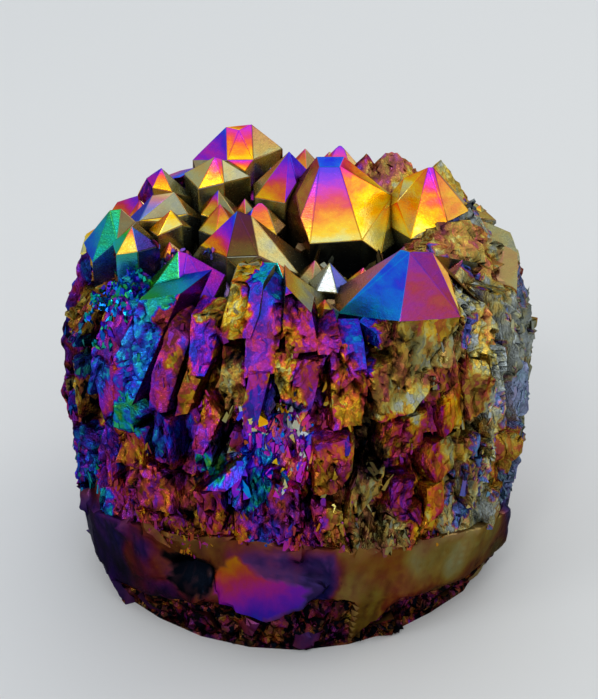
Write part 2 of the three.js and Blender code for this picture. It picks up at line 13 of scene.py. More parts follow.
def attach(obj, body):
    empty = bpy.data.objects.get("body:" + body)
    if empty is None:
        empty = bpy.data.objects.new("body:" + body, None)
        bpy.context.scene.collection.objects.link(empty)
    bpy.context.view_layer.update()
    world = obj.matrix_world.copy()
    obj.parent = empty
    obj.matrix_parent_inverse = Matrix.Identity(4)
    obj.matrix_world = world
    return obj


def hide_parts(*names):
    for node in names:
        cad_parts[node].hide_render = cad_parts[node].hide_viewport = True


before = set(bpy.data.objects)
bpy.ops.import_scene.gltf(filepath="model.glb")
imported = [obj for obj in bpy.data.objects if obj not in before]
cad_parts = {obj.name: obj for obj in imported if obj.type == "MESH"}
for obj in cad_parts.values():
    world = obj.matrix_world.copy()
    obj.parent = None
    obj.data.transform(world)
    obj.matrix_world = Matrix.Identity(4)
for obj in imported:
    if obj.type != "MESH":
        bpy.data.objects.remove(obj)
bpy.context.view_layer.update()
mm = 0.001
noise.seed_set(7)  # noise vectors take their offsets from this, so every run gives the same chips
print("frame loaded")


def bearingOf(vector):
    return math.degrees(math.atan2(vector.x, -vector.y))


def turnBetween(first, second):
    return abs((first - second + 180) % 360 - 180)


def around(bearing, radius, height):
    angle = math.radians(bearing)
    return Vector((math.sin(angle) * radius, -math.cos(angle) * radius, height))


def blend(low, high, share):
    return low + (high - low) * max(0.0, min(1.0, share))


def chanceAt(point, salt):
    return noise.cell(point * 13.7 + Vector((salt, salt * 1.7, salt * 2.3)))


# The film's thickness decides its colour: about 5 is silver, 30 gold, 55 orange, 75 magenta, 90 violet,
# 110 blue, 135 cyan, 155 teal, 170 green. "grey" washes it out and "shade" darkens it, both from 0 to 1;
# a shade below 0 makes it brighter. The shade is partly the film's own darker tone and partly painted
# shade: in hollows, cracks and gaps, and on faces turned from the lamps. A shade below 0 is painted light.

# The large points: the place of the tip, how far from it their faces may start, and their faces. A face is
# the bearing and the rise it looks along, the film at its foot and at its top, then grey and shade; that
# shade is partly painted shade, on faces in the gaps and faces turned from the light. "rough" is how near
# the tip a face is broken like the flank, "smooth" how near it stays clean even where it overhangs, and
# "gradient"
# how the film grows up a face: above 1, the foot's colour reaches higher.
points = {
    "keystone": {
        "tip": (7, 8, 87), "reach": 17, "gradient": 1,
        "faces": [
            (0, 39, 17, 98, 0.08, 0.05), (0, 83, 112, 116, 0, 0.15), (53, 38, 22, 62, 0, 0),
            (53, 36, 16, 24, 0.3, 0), (3, 0, 10, 10, 0.5, 0.92), (-69, 0, 30, 52, 0.3, 0.5),
            (-69, 40, 36, 56, 0.2, 0.4), (-75, 78, 112, 112, 0, 0.1), (90, 5, 8, 8, 0.6, 0.6),
            (140, 37, 34, 80, 0, 0), (175, 37, 30, 96, 0, 0), (-130, 37, 40, 108, 0, 0.1),
        ],
    },
    "front lead": {
        "tip": (21, -28, 85.5), "reach": 19, "gradient": 1,
        "faces": [
            (-57, 33, 122, 112, 0, 0), (-100, 40, 36, 84, 0.45, 0.1), (14, 38, 66, 74, 0.06, 0.5),
            (76, 31, 28, 44, 0.2, 0.55), (148, 36, 30, 72, 0, 0.1), (-172, 41, 30, 86, 0, 0.1),
        ],
    },
    "right shoulder": {
        "tip": (26, 8, 86), "reach": 12,
        "faces": [
            (-8, 38, 28, 88, 0, 0), (-58, 34, 20, 58, 0, 0), (-63, 0, 6, 6, 0.3, 0),
            (46, 39, 32, 62, 0.1, 0.5), (54, 36, 22, 28, 0.15, 0), (98, 40, 30, 50, 0.15, 0.35),
            (170, 36, 34, 84, 0, 0),
        ],
    },
    "purple blade": {
        "tip": (-1, 14, 87), "reach": 10, "gradient": 0.8,
        "faces": [
            (-43, 37, 30, 104, 0, 0), (-81, 39, 24, 40, 0.5, 0.2), (30, 38, 80, 98, 0, 0.3),
            (120, 38, 40, 92, 0, 0),
        ],
    },
    "back peak": {
        "tip": (-12, 30, 86), "reach": 12,
        "faces": [
            (-51, 28, 78, 118, 0, 0.1), (-10, 34, 34, 78, 0, 0), (53, 28, 26, 50, 0.35, 0.52),
            (150, 30, 34, 88, 0, 0), (-130, 30, 60, 124, 0, 0),
        ],
    },
    "back step": {
        "tip": (-16, 16, 85), "reach": 8,
        "faces": [
            (-15, 34, 34, 88, 0, 0), (-70, 30, 28, 40, 0.4, 0.2), (50, 30, 20, 30, 0.45, 0.48),
            (51, 0, 20, 30, 0.4, 0.5),
        ],
    },
    "far left": {
        "tip": (-27, 15, 83), "reach": 7,
        "faces": [
            (-30, 34, 28, 90, 0, 0.1), (-80, 34, 70, 104, 0, 0.2), (40, 34, 22, 24, 0.5, 0.5),
        ],
    },
    "grey dome": {
        "tip": (-26, 6, 81.5), "reach": 9,
        "faces": [
            (-30, 34, 112, 20, 0.5, 0.15), (30, 34, 22, 16, 0.6, 0.42), (-80, 34, 118, 100, 0.3, 0.2),
        ],
    },
    "yellow tooth": {
        "tip": (-24, 0, 80.5), "reach": 6,
        "faces": [
            (0, 36, 20, 30, 0, 0), (-70, 36, 34, 50, 0, 0.05), (60, 36, 24, 30, 0.4, 0.45),
        ],
    },
    "green rim": {
        "tip": (-34, -5, 83), "reach": 10,
        "faces": [
            (-30, 34, 150, 168, 0, 0.38), (-75, 32, 120, 160, 0, 0.35), (50, 34, 30, 44, 0.5, 0.5),
            (20, 34, 40, 48, 0.4, 0.3), (11, 0, 104, 140, 0.1, 0.25), (-60, 0, 110, 150, 0, 0.3),
        ],
    },
    "lime tooth": {
        "tip": (-30, -14, 83.5), "reach": 7,
        "faces": [
            (-50, 36, 150, 180, 0, 0), (30, 36, 24, 60, 0.1, 0.05), (10, 36, 24, 60, 0.1, 0.05),
            (-3, 0, 112, 150, 0.1, 0.25), (61, 0, 96, 124, 0.2, 0.4),
        ],
    },
    "emerald": {
        "tip": (-20, -22, 82), "reach": 11, "smooth": 7.5,
        "faces": [
            (-35, 34, 152, 166, 0, 0.2), (-73, 66, 168, 88, 0, 0.3), (-86, 38, 176, 164, 0, 0.1),
            (20, 34, 84, 78, 0, 0.2), (70, 37, 86, 80, 0, 0.3), (40, -13, 82, 78, 0, 0.35),
            (76, 0, 22, 30, 0.5, 0.6),
        ],
    },
    "grey wedge": {
        "tip": (-10, -8, 84), "reach": 14, "gradient": 1,
        "faces": [
            (-60, 33, 26, 126, 0, 0), (-10, 36, 34, 88, 0.15, 0.86), (10, 36, 28, 76, 0.15, 0.88),
            (50, 37, 18, 30, 0.35, 0.42), (80, 40, 14, 32, 0.4, 0.5),
        ],
    },
    "teal chisel": {
        "tip": (-4, -25, 82), "reach": 13,
        "faces": [
            (-40, 36, 140, 144, 0, 0), (10, 30, 118, 122, 0, 0), (50, 36, 26, 54, 0.05, 0.25),
            (80, 51, 14, 50, 0.2, 0.4),
        ],
    },
    "silver sliver": {
        "tip": (6, -19, 78), "reach": 5,
        "faces": [
            (-10, 38, 4, 8, 0.4, 0.25), (50, 38, 112, 104, 0.3, 0.5), (-60, 38, 12, 4, 0.3, 0.1),
        ],
    },
    "right back": {
        "tip": (20, 25, 83), "reach": 8, "rough": 6,
        "faces": [
            (3, 42, 34, 66, 0.35, 0.45), (60, 38, 28, 40, 0.4, 0.5), (-60, 38, 74, 92, 0.3, 0.5),
            (180, 38, 32, 90, 0, 0.1),
        ],
    },
    "right rim": {
        "tip": (30, 20, 83), "reach": 6, "rough": 3,
        "faces": [
            (0, 38, 26, 36, 0.1, 0.2), (45, 38, 26, 34, 0.4, 0.4), (-60, 38, 70, 84, 0.3, 0.5),
            (150, 38, 30, 80, 0, 0.1),
        ],
    },
    "right ridge": {
        "tip": (37, 9, 78), "reach": 5, "rough": 5,
        "faces": [
            (60, 38, 6, 10, 0.5, 0.2),
        ],
    },
    "brown right": {
        "tip": (31, -5, 81), "reach": 12, "rough": 7,
        "faces": [
            (9, 35, 24, 52, 0.3, 0.62), (21, 42, 26, 44, 0.3, 0.55), (-69, 31, 28, 62, 0.2, 0.5),
            (66, 36, 22, 30, 0.45, 0.45),
        ],
    },
}

# What the smaller points take: the film at the foot and the top of their faces, which runs from gold to
# violet, and greyer, darker sides that look to the right, which is painted shade. Prism faces are greyer
# and darker, and the level floors between the points are dark with painted shade.
smallPoints = {
    "foot": (20, 34), "top": (62, 112), "gradient": 1.6,
    "clean": 0.05, "shadedSideGrey": 0.42, "shadedSideFrom": 20, "shadedSideTo": 130,
    "shadedSideDarkening": 0.7, "shadedSideSwing": 12, "shadeSwing": 0.2,
    "prismFoot": 14, "prismTop": 20, "prismSwing": 20, "prismGrey": 0.65, "prismShade": 0.34,
    "floorRise": 85, "floorTop": 70, "floorTone": (100, 100, 0.4, 0.95, 1),
}

# How a face finds its row in a large point's list, by where it looks.
faceMatch = {
    "riseWeight": 0.8,
    "turn": 50,              # a face turned further than this isn't in the list
    "topRise": 60,           # unless it looks up this much
    "prismRise": 12,         # faces that look up less than this are prism faces
    "prismGap": 20,          # and don't take a row that looks up this much more
}

# The broken flank, as patches: bearing, height, film, how much the film varies from chip to chip, grey,
# shade, and how rough the patch is. The shade is partly painted shade; below 0 it is painted light.
flankPatches = [
    (-76, 64, 34, 10, 0.1, 0.4, 0.7), (-70, 67, 42, 12, 0.1, 0.45, 0.6),
    (-62, 68, 38, 12, 0.1, 0.4, 0.6), (-54, 66, 86, 8, 0, 0.3, 0.3), (-66, 60, 140, 16, 0.1, 0.5, 0.5),
    (-72, 56, 50, 20, 0.3, 0.85, 0.8), (-55, 58, 122, 10, 0, 0.15, 0.4),
    (-67, 52, 40, 12, 0.1, 0.5, 0.7), (-52, 56, 78, 8, 0, 0.3, 0.3), (-62, 75, 112, 40, 0, 0.15, 0.8),
    (-46, 75, 132, 10, 0, 0.1, 0.6), (-44, 68, 128, 9, 0, 0, 0.5), (-42, 61, 126, 9, 0, 0, 0.5),
    (-44, 52, 162, 8, 0, 0, 0.5), (-37, 55, 106, 16, 0, 0.4, 0.5), (-34, 70, 72, 6, 0, 0.42, 0.25),
    (-33, 63, 76, 8, 0, 0.42, 0.3), (-25, 70, 98, 8, 0, 0.3, 0.3), (-30, 65, 42, 6, 0, 0.4, 0.3),
    (-37, 74, 54, 6, 0, 0.5, 0.4), (-44, 79, 156, 6, 0, 0.05, 0.1), (-42, 75, 158, 8, 0, 0.1, 0.15),
    (-39, 78, 160, 6, 0, 0.05, 0.1), (-33, 79, 74, 6, 0, 0.1, 0.1), (-30, 76, 80, 8, 0, 0.2, 0.2),
    (-26, 64, 48, 8, 0, 0.35, 0.4), (-19, 78, 28, 6, 0, 0.1, 1), (-18, 75, 30, 8, 0, 0.1, 1),
    (-19, 71, 54, 8, 0, 0.3, 0.8), (-25, 76, 30, 14, 0.1, 0.3, 0.8), (-17, 67, 32, 10, 0.15, 0.35, 0.9),
    (-21, 58, 66, 10, 0, 0.05, 0.8), (-16, 61, 30, 8, 0.1, 0.35, 0.7), (-9, 83, 138, 6, 0, 0, 0.1),
    (-9, 80, 102, 6, 0, 0.1, 0.15), (-9, 75, 78, 5, 0, 0.3, 0.15), (-9, 68, 82, 4, 0, 0.12, 0.1),
    (-3, 81, 116, 8, 0, 0.1, 0.1), (-14, 57, 76, 8, 0, 0.35, 0.3), (-8, 62, 100, 6, 0, 0.15, 0.2),
    (-2, 78, 76, 14, 0, 0.25, 0.8), (-1, 73, 52, 12, 0, 0.2, 0.9), (-2, 67, 36, 8, 0, 0.1, 0.6),
    (-3, 60, 112, 30, 0.4, 0.85, 0.8), (-22, 53, 92, 10, 0, 0.05, 0.7), (-21, 49, 164, 10, 0, 0.2, 0.6),
    (-19, 51, 116, 30, 0.5, 0.8, 0.8), (-16, 50, 22, 6, 0.3, -0.4, 0.6),
    (-15, 48, 96, 20, 0, -0.5, 0.15), (-10, 53, 120, 14, 0, -0.4, 0.8), (-3, 52, 74, 22, 0.1, -0.4, 1),
    (1, 53, 64, 24, 0.1, -0.4, 1), (-44, 47, 48, 10, 0, 0.35, 0.7), (-35, 51, 108, 14, 0, 0.35, 0.6),
    (-43, 39, 62, 10, 0, 0.35, 0.7), (-33, 42, 72, 10, 0, 0.35, 0.7), (-64, 33, 138, 16, 0, 0.3, 0.8),
    (-58, 38, 88, 20, 0, 0.35, 0.7), (-71, 37, 116, 20, 0, 0.35, 0.7), (-52, 46, 100, 24, 0, 0.4, 0.7),
    (-50, 33, 70, 14, 0, 0.4, 0.8), (2, 75, 74, 10, 0, 0.15, 0.7), (10, 72, 82, 8, 0, 0.3, 0.5),
    (4, 68, 72, 8, 0, 0.3, 0.4), (13, 67, 58, 14, 0, 0.25, 0.8), (11, 61, 44, 8, 0, 0.15, 0.8),
    (8, 57, 78, 12, 0, 0.35, 0.6), (17, 73, 108, 8, 0, 0.1, 0.05), (21, 73, 114, 6, 0, 0.15, 0.05),
    (24, 70, 40, 8, 0.1, 0.45, 0.6), (26, 65, 38, 8, 0.15, 0.45, 0.6), (32, 69, 36, 8, 0.2, 0.45, 0.5),
    (35, 75, 38, 6, 0.05, 0.3, 0.3), (39, 67, 28, 8, 0.25, 0.2, 0.7), (39, 62, 56, 8, 0.05, 0.4, 0.6),
    (48, 58, 42, 8, 0.1, 0.35, 0.4), (52, 66, 24, 8, 0.15, -0.2, 0.8),
    (63, 70, 24, 14, 0.3, -0.25, 0.9), (65, 64, 8, 12, 0.5, -0.2, 1), (49, 71, 14, 10, 0.3, -0.15, 0.9),
    (67, 55, 10, 16, 0.6, 0.1, 0.8), (71, 47, 114, 10, 0.7, -0.3, 0.8), (67, 37, 40, 6, 0.1, 0.25, 0.3),
    (56, 52, 8, 10, 0.5, -0.3, 0.8), (55, 46, 24, 8, 0.35, -0.15, 0.7), (42, 47, 32, 8, 0.1, 0.3, 0.8),
    (27, 55, 56, 6, 0, 0.3, 0.5), (28, 60, 22, 4, 0.1, 0, 0.3), (36, 55, 64, 6, 0, 0.3, 0.3),
    (39, 57, 44, 4, 0, 0.15, 0.2), (32, 44, 64, 8, 0, 0.3, 0.6), (9, 51, 58, 10, 0, 0.2, 0.6),
    (9, 46, 50, 8, 0, 0.3, 0.6), (17, 49, 40, 20, 0.3, 0.7, 0.7), (19, 42, 32, 10, 0.2, 0.35, 0.7),
    (26, 39, 76, 12, 0, 0.3, 0.6), (36, 39, 50, 6, 0, 0.25, 0.4), (47, 36, 26, 12, 0.35, 0.15, 0.8),
    (59, 34, 20, 14, 0.45, 0.05, 0.9), (74, 32, 112, 20, 0.6, 0.1, 0.9), (3, 38, 76, 18, 0, 0.35, 0.8),
    (10, 40, 48, 14, 0.1, 0.35, 0.8), (23, 33, 34, 12, 0.25, 0.4, 1), (-23, 42, 74, 14, 0, 0.35, 0.7),
    (-14, 42, 104, 24, 0, 0.3, 0.7), (-10, 41, 160, 10, 0, 0.15, 0.5), (-4, 43, 70, 24, 0, 0.3, 0.8),
    (-17, 35, 60, 20, 0, 0.4, 0.8), (-8, 36, 90, 40, 0, 0.35, 0.8), (-30, 38, 56, 14, 0, 0.45, 0.7),
    (80, 79, 40, 14, 0.2, 0.25, 0.9), (66, 75, 28, 8, 0.3, 0.3, 0.5), (102, 77, 6, 10, 0.5, 0.1, 0.9),
    (92, 71, 30, 10, 0.4, 0.3, 0.7), (141, 80, 52, 22, 0.25, 0.2, 0.8),
    (124, 79, 30, 10, 0.1, 0.2, 0.7), (150, 74, 70, 16, 0.1, 0.3, 0.6), (84, 62, 10, 12, 0.6, 0.1, 0.8),
    (86, 40, 24, 20, 0.5, 0.4, 0.8), (98, 54, 40, 16, 0.2, 0.35, 0.6),
    (100, 30, 56, 20, 0.1, 0.42, 0.8), (114, 64, 30, 12, 0.3, 0.3, 0.8),
    (116, 44, 68, 14, 0, 0.35, 0.5), (128, 56, 44, 14, 0, 0.3, 0.6), (130, 32, 82, 20, 0, 0.42, 0.7),
    (144, 62, 72, 12, 0, 0.3, 0.5), (146, 42, 36, 12, 0.1, 0.3, 0.8), (158, 52, 92, 14, 0, 0.35, 0.4),
    (162, 30, 60, 24, 0, 0.42, 0.8), (172, 64, 52, 16, 0, 0.3, 0.8), (178, 44, 110, 16, 0, 0.3, 0.5),
    (190, 56, 76, 12, 0, 0.35, 0.4), (196, 32, 90, 30, 0, 0.42, 0.7), (206, 64, 124, 18, 0, 0.28, 0.7),
    (210, 44, 62, 14, 0, 0.38, 0.5), (222, 54, 140, 18, 0, 0.25, 0.6), (228, 30, 74, 24, 0, 0.45, 0.8),
    (238, 64, 88, 14, 0, 0.35, 0.5), (244, 44, 118, 18, 0, 0.3, 0.5), (256, 56, 66, 14, 0, 0.4, 0.6),
    (262, 32, 130, 26, 0, 0.38, 0.7), (272, 64, 104, 18, 0, 0.35, 0.7), (275, 44, 78, 20, 0, 0.42, 0.6),
]

# The smooth rind round the foot, as patches that blend into each other: bearing, height, film, grey,
# shade, which is partly painted shade.
rindPatches = [
    (-72, 27, 64, 0.2, 0.55), (-72, 22, 90, 0.22, 0.66), (-70, 14, 96, 0.2, 0.8),
    (-58, 29, 58, 0.15, 0.5), (-58, 25, 80, 0.2, 0.58), (-57, 21, 96, 0.25, 0.72),
    (-56, 11, 88, 0.18, 0.8), (-44, 30, 54, 0.15, 0.5), (-44, 26.5, 74, 0.18, 0.58),
    (-43, 23, 90, 0.22, 0.74), (-49, 17.5, 58, 0.18, 0.66), (-41, 19, 54, 0.12, 0.58),
    (-40, 12, 78, 0.15, 0.82), (-33, 29, 54, 0.1, 0.6), (-31, 27.5, 46, 0.15, 0.68),
    (-28, 26, 42, 0.1, 0.76), (-20, 30, 44, 0.1, 0.68), (-14, 31, 62, 0.1, 0.5),
    (-12, 28, 82, 0.2, 0.6), (-2, 32, 62, 0.12, 0.45), (-2, 28, 84, 0.22, 0.6), (4, 23, 92, 0.2, 0.76),
    (7, 28, 84, 0.2, 0.6), (7, 32, 58, 0.1, 0.45), (6, 18, 96, 0.15, 0.8), (12, 29, 44, 0.15, 0.5),
    (18, 25, 42, 0.15, 0.5), (16, 18, 38, 0.25, 0.5), (22, 11, 34, 0.2, 0.6), (26, 24, 48, 0.1, 0.5),
    (31, 14, 50, 0.1, 0.55), (36, 23, 30, 0.35, 0.4), (49, 23, 26, 0.4, 0.2), (46, 17, 26, 0.45, 0.2),
    (60, 18, 26, 0.35, 0.2), (70, 10, 30, 0.4, 0.5), (42, 12, 42, 0.2, 0.5), (56, 11, 42, 0.2, 0.5),
    (74, 16, 112, 0.5, 0.4), (90, 14, 32, 0.3, 0.5), (115, 14, 52, 0, 0.5), (140, 15, 70, 0, 0.5),
    (165, 16, 88, 0, 0.52), (190, 16, 66, 0, 0.52), (215, 15, 44, 0.1, 0.5), (240, 13, 76, 0, 0.55),
    (265, 13, 96, 0, 0.58),
]

# The bright fresh chip in the rind: its outline as bearings and heights, and its film from the upper left
# corner to the lower right.
brightChip = {
    "outline": [(-25, 17), (-22, 22), (-16, 27.5), (-12, 25), (-10, 23), (-4, 22.5), (4, 21), (1, 16.5),
                (-8, 13), (-20, 14)],
    "left": -24, "right": 4, "top": 27.5, "foot": 13, "acrossShare": 0.45, "dropShare": 0.75, "delay": 0.12,
    "film": (38, 112), "scale": 0.4, "swing": 6, "shade": 0.1,
}

# The hollow beside it, painted black as painted shade, with a ragged edge: how finely and how far it
# wanders.
pit = {
    "outline": [(-38, 21), (-33, 25), (-29, 26.5), (-25, 24.5), (-23, 19), (-25, 15), (-30, 12), (-37, 15)],
    "ragged": [(0.35, 2.4), (1.1, 0.8)], "film": 60, "grey": 0.4, "shade": 1, "scale": 0.8, "swing": 0.1,
}

# The height of the rind's ragged upper edge, by bearing.
rindEdge = [
    (-180, 21), (-150, 20), (-110, 17), (-80, 21), (-62, 29), (-45, 30), (-28, 27), (-20, 31), (0, 32),
    (22, 28), (45, 27), (67, 24), (90, 18), (140, 19), (180, 21),
]

# The height of its lower edge, where the rough underside bevels in.
rindFoot = [
    (-180, 11), (-153, 10), (-130, 8), (-85, 8), (-62, 5.5), (-40, 9), (-20, 14), (0, 16), (8, 15),
    (13, 9), (22, 6), (32, 8), (38, 12), (45, 11), (67, 8.5), (90, 8), (137, 9), (180, 11),
]


def heightAlong(line, bearing):
    turned = (bearing + 180) % 360 - 180
    for (startBearing, startHeight), (endBearing, endHeight) in zip(line, line[1:]):
        if turned <= endBearing:
            return blend(startHeight, endHeight, (turned - startBearing) / (endBearing - startBearing))
    return line[-1][1]


patchShape = {"wall": 44, "heightWeight": 0.6}  # patches are measured round this radius, and stand tall
nearPatches = {}


def patchDistance(patch, bearing, height):
    across = math.radians(turnBetween(patch[0], bearing)) * patchShape["wall"]
    return math.hypot(across, (patch[1] - height) * patchShape["heightWeight"])


def nearestPatch(place):
    key = (round(place.x), round(place.y), round(place.z))
    if key not in nearPatches:
        bearing = bearingOf(Vector(key))
        nearPatches[key] = min(flankPatches, key=lambda patch: patchDistance(patch, bearing, key[2]))
    return nearPatches[key]


surface = {
    "weld": 0.002,
    "flatAngle": 1.5,        # faces closer than this are one crystal face
    "pointEdge": 2.4,        # longest edge left on the points
    "flankEdge": 0.95,       # and on the broken flank
    "rindEdge": 1.5,
    "underEdge": 1.3,
    "baseEdge": 30,
    "spareLength": 1.35,     # an edge may be longer by this before it is cut
    "rounds": 7,
    "arris": 0.17,           # worn edge round each crystal face
    "arrisDrop": 0.06,
    "smallestFace": 3.0,     # square millimetres; smaller faces keep a sharp edge
    "arrisFilm": 7,          # how much thicker the film is there
    "underRough": 0.9,
    "leastRough": 0.02,
    "reliefFoot": 0.2,       # the level underside has no relief
    "reliefSink": 0.25,      # the broken surface lies this much lower on average
    "grooveGain": 1.5,
    "softCrease": 30,        # flatter creases than this are rounded on the rind
    "softening": 8,
    "blunting": 3,           # rounds of smoothing that sharper creases get too
    "rindSwell": 0.45,
    "hollowReach": 6.0,      # how near a wall must be for painted shade in a hollow
    "hollowRays": 6,
    "hollowLift": 0.15,
    "hollowSpread": 0.75,
    "hollowFloor": 0.2,      # a share of wall that isn't a hollow yet
    "hollowGain": 1.9,
    "pointHollow": 0.7,      # how much of that the clean points take
}

kinds = ["base", "point", "flank", "rind", "under"]
finishSlots = {"point": 0, "flank": 1, "rind": 2, "under": 1, "base": 1}
filmScale = 200  # the thickest film, which is 1 in the attribute

# Where each kind of surface lies.
zones = {
    "baseTop": 0.3, "baseRise": -60,          # the level underside
    "crownFoot": 66,                          # the crown starts above this height
    "crownRadius": 33, "tipReach": 6.0,       # its clean faces lie this far in, or this near a tip
    "front": 80,
    "shelfRise": 55, "shelfRadius": 26,       # level steps further out than this are broken
    "backRadius": 34, "backRise": 24,
    "overhang": -12,                          # the rough underside bevels in below the rind
}

# From this height down, faces deep between the points turn grey and dark: painted shade.
valley = {"top": 76, "depth": 7, "foot": 70, "grey": 0.85, "shade": 0.93}

# How film and shade wander over the broken flank. Scales are per millimetre. The shade carries painted
# shade: deeper in the grooves and on faces turned to the right.
flankDrift = {
    "bendScale": 0.25, "bend": 1.6, "fineGroove": 0.8,
    "edgeScale": 0.3, "edge": 2.2,            # how far a patch's edge wanders
    "streakAcross": 0.8, "streakUp": 0.16, "streak": 0.9,
    "driftScale": 0.22, "drift": 1.1, "driftShade": 0.25,
    "grooveFilm": 44, "grooveShare": 0.55, "grooveShade": 0.5,
    "silverGrey": 0.3, "silverFilm": 40,      # a greyer and thinner film than this is silver
    "blueFrom": 0.32, "blueFilm": 116,        # and has blue streaks
    "turnShade": 0.14,
    "greyWash": 0.05,                             # washes it all out a little
}

# The same for the rind, with fibres that run up it and a gold fringe at its upper edge.
rindDrift = {
    "edgeScale": 0.16, "edge": 2.5, "fade": 4,
    "fibreAcross": 1.1, "fibreUp": 0.12, "fibre": 7, "fibreShade": 0.2,
    "fringeWidth": 4, "fringeFilm": 46, "fringeShare": 0.6,
    "greyWash": 0.05,
    "swell": {"mean": 0, "swings": [(0.13, 1), (0.5, 0.35)]},
}

# The rough dark underside, darkened with painted shade under the overhang: the mean of each value, and
# its swings as a scale and a size.
underside = {
    "film": {"mean": 56, "swings": [(0.2, 26), (0.9, 18)]},
    "grey": {"mean": 0.12, "swings": [(0.5, 0.3)]},
    "shade": {"mean": 0.9, "swings": [(0.6, 0.3)]},
}

# The relief of the broken flank, from columns to splinters: width and height of a chip, how far it stands
# out or in, how far it leans, and the depth and width of the groove round it.
reliefs = [
    {"width": 4.2, "height": 12, "step": 0.3, "tilt": 0.6, "groove": 0.5, "crack": 0.13},
    {"width": 2.1, "height": 5.5, "step": 0.17, "tilt": 0.42, "groove": 0.25, "crack": 0.14},
    {"width": 1.1, "height": 2.4, "step": 0.08, "tilt": 0.22, "groove": 0, "crack": 0.1},
]

# Rounded lumps on the flank: bearing, height, radius, how far it stands out.
lumps = [(67, 37, 3.4, 2.2), (50, 60, 3, 1), (57, 49, 2.6, 0.9), (44, 53, 2.4, 0.8)]
lumpWall = 46  # the flank's radius there


def lumpRelief(place):
    raised = 0.0
    for bearing, height, radius, rise in lumps:
        across = math.radians(turnBetween(bearing, bearingOf(place))) * lumpWall
        share = math.hypot(across, place.z - height) / radius
        raised += rise * math.sqrt(max(0.0, 1 - share * share))
    return raised


def riseOf(normal):
    return math.degrees(math.asin(max(-1.0, min(1.0, normal.z))))


def mergedCopy(node):
    mesh = bmesh.new()
    mesh.from_mesh(node.data)
    bmesh.ops.remove_doubles(mesh, verts=mesh.verts, dist=surface["weld"] * mm)
    flat = math.radians(surface["flatAngle"])
    bmesh.ops.dissolve_limit(mesh, angle_limit=flat, verts=mesh.verts, edges=mesh.edges)
    return mesh


def highestCorner(face):
    return max((vertex.co for vertex in face.verts), key=lambda place: place.z) / mm


def nearestPoint(place):
    name = min(points, key=lambda item: (place - Vector(points[item]["tip"])).length)
    return points[name], (place - Vector(points[name]["tip"])).length


def kindOf(face):
    centre = face.calc_center_median_weighted() / mm
    radius = math.hypot(centre.x, centre.y)
    rise = riseOf(face.normal)
    if centre.z < zones["baseTop"] and rise < zones["baseRise"]:
        return "base"
    if centre.z > zones["crownFoot"]:
        crystal, gap = nearestPoint(highestCorner(face))
        if gap < crystal.get("rough", 0):
            return "flank"
        if gap < crystal.get("smooth", 0):
            return "point"
        front = abs(bearingOf(centre)) < zones["front"]
        shelf = rise > zones["shelfRise"] and radius > zones["shelfRadius"]
        if front and not shelf and (gap < zones["tipReach"] or radius < zones["crownRadius"]):
            return "point"
        if not front and (radius < zones["backRadius"] or rise > zones["backRise"]):
            return "point"
    if rise < zones["overhang"] and centre.z < heightAlong(rindFoot, bearingOf(centre)):
        return "under"
    if centre.z < heightAlong(rindEdge, bearingOf(centre)):
        return "rind"
    return "flank"


def pointTone(face):
    rise = riseOf(face.normal)
    facing = bearingOf(face.normal)
    # the level floors between the points take painted shade
    if rise > smallPoints["floorRise"] and face.calc_center_median().z < smallPoints["floorTop"] * mm:
        return smallPoints["floorTone"]
    top = highestCorner(face)
    crystal, gap = nearestPoint(top)
    if gap < crystal["reach"]:
        near = min(crystal["faces"], key=lambda row: (
            turnBetween(row[0], facing) + abs(row[1] - rise) * faceMatch["riseWeight"]))
        prism = rise < faceMatch["prismRise"] and near[1] - rise > faceMatch["prismGap"]
        turned = turnBetween(near[0], facing)
        if not prism and (turned < faceMatch["turn"] or rise > faceMatch["topRise"]):
            return (*near[2:6], crystal.get("gradient", smallPoints["gradient"]))
    chance = [chanceAt(top, salt) for salt in (1, 2, 3)]
    if rise < faceMatch["prismRise"]:
        foot = smallPoints["prismFoot"] + smallPoints["prismSwing"] * chance[0]
        tip = smallPoints["prismTop"] + smallPoints["prismSwing"] * chance[1]
        return (foot, tip, smallPoints["prismGrey"], smallPoints["prismShade"], 1)
    # sides that look to the right take painted shade: greyer and darker
    isShadedSide = smallPoints["shadedSideFrom"] < facing < smallPoints["shadedSideTo"]
    grey = smallPoints["shadedSideGrey"] if isShadedSide else smallPoints["clean"]
    foot = blend(*smallPoints["foot"], chance[0])
    tip = foot + smallPoints["shadedSideSwing"] if isShadedSide else blend(*smallPoints["top"], chance[1])
    shade = grey * smallPoints["shadedSideDarkening"] + smallPoints["shadeSwing"] * chance[2]
    return (foot, tip, grey, shade, smallPoints["gradient"])


def cellRelief(place, cell):
    spot = Vector((place.x / cell["width"], place.y / cell["width"], place.z / cell["height"]))
    distances, centres = noise.voronoi(spot)
    lean = Vector([chanceAt(centres[0], salt) - 0.5 for salt in (21, 22, 23)])
    stand = cell["step"] * (chanceAt(centres[0], 24) * 2 - 1)
    raised = stand + cell["tilt"] * 2 * lean.dot(spot - centres[0])
    crack = max(0.0, 1 - (distances[1] - distances[0]) / cell["crack"])
    return raised - cell["groove"] * crack * crack, crack


def flankRelief(place):
    bent = place + noise.noise_vector(place * flankDrift["bendScale"]) * flankDrift["bend"]
    steps = [cellRelief(bent, cell) for cell in reliefs]
    groove = max(steps[0][1], steps[1][1] * flankDrift["fineGroove"])
    return sum(step for step, _ in steps), groove


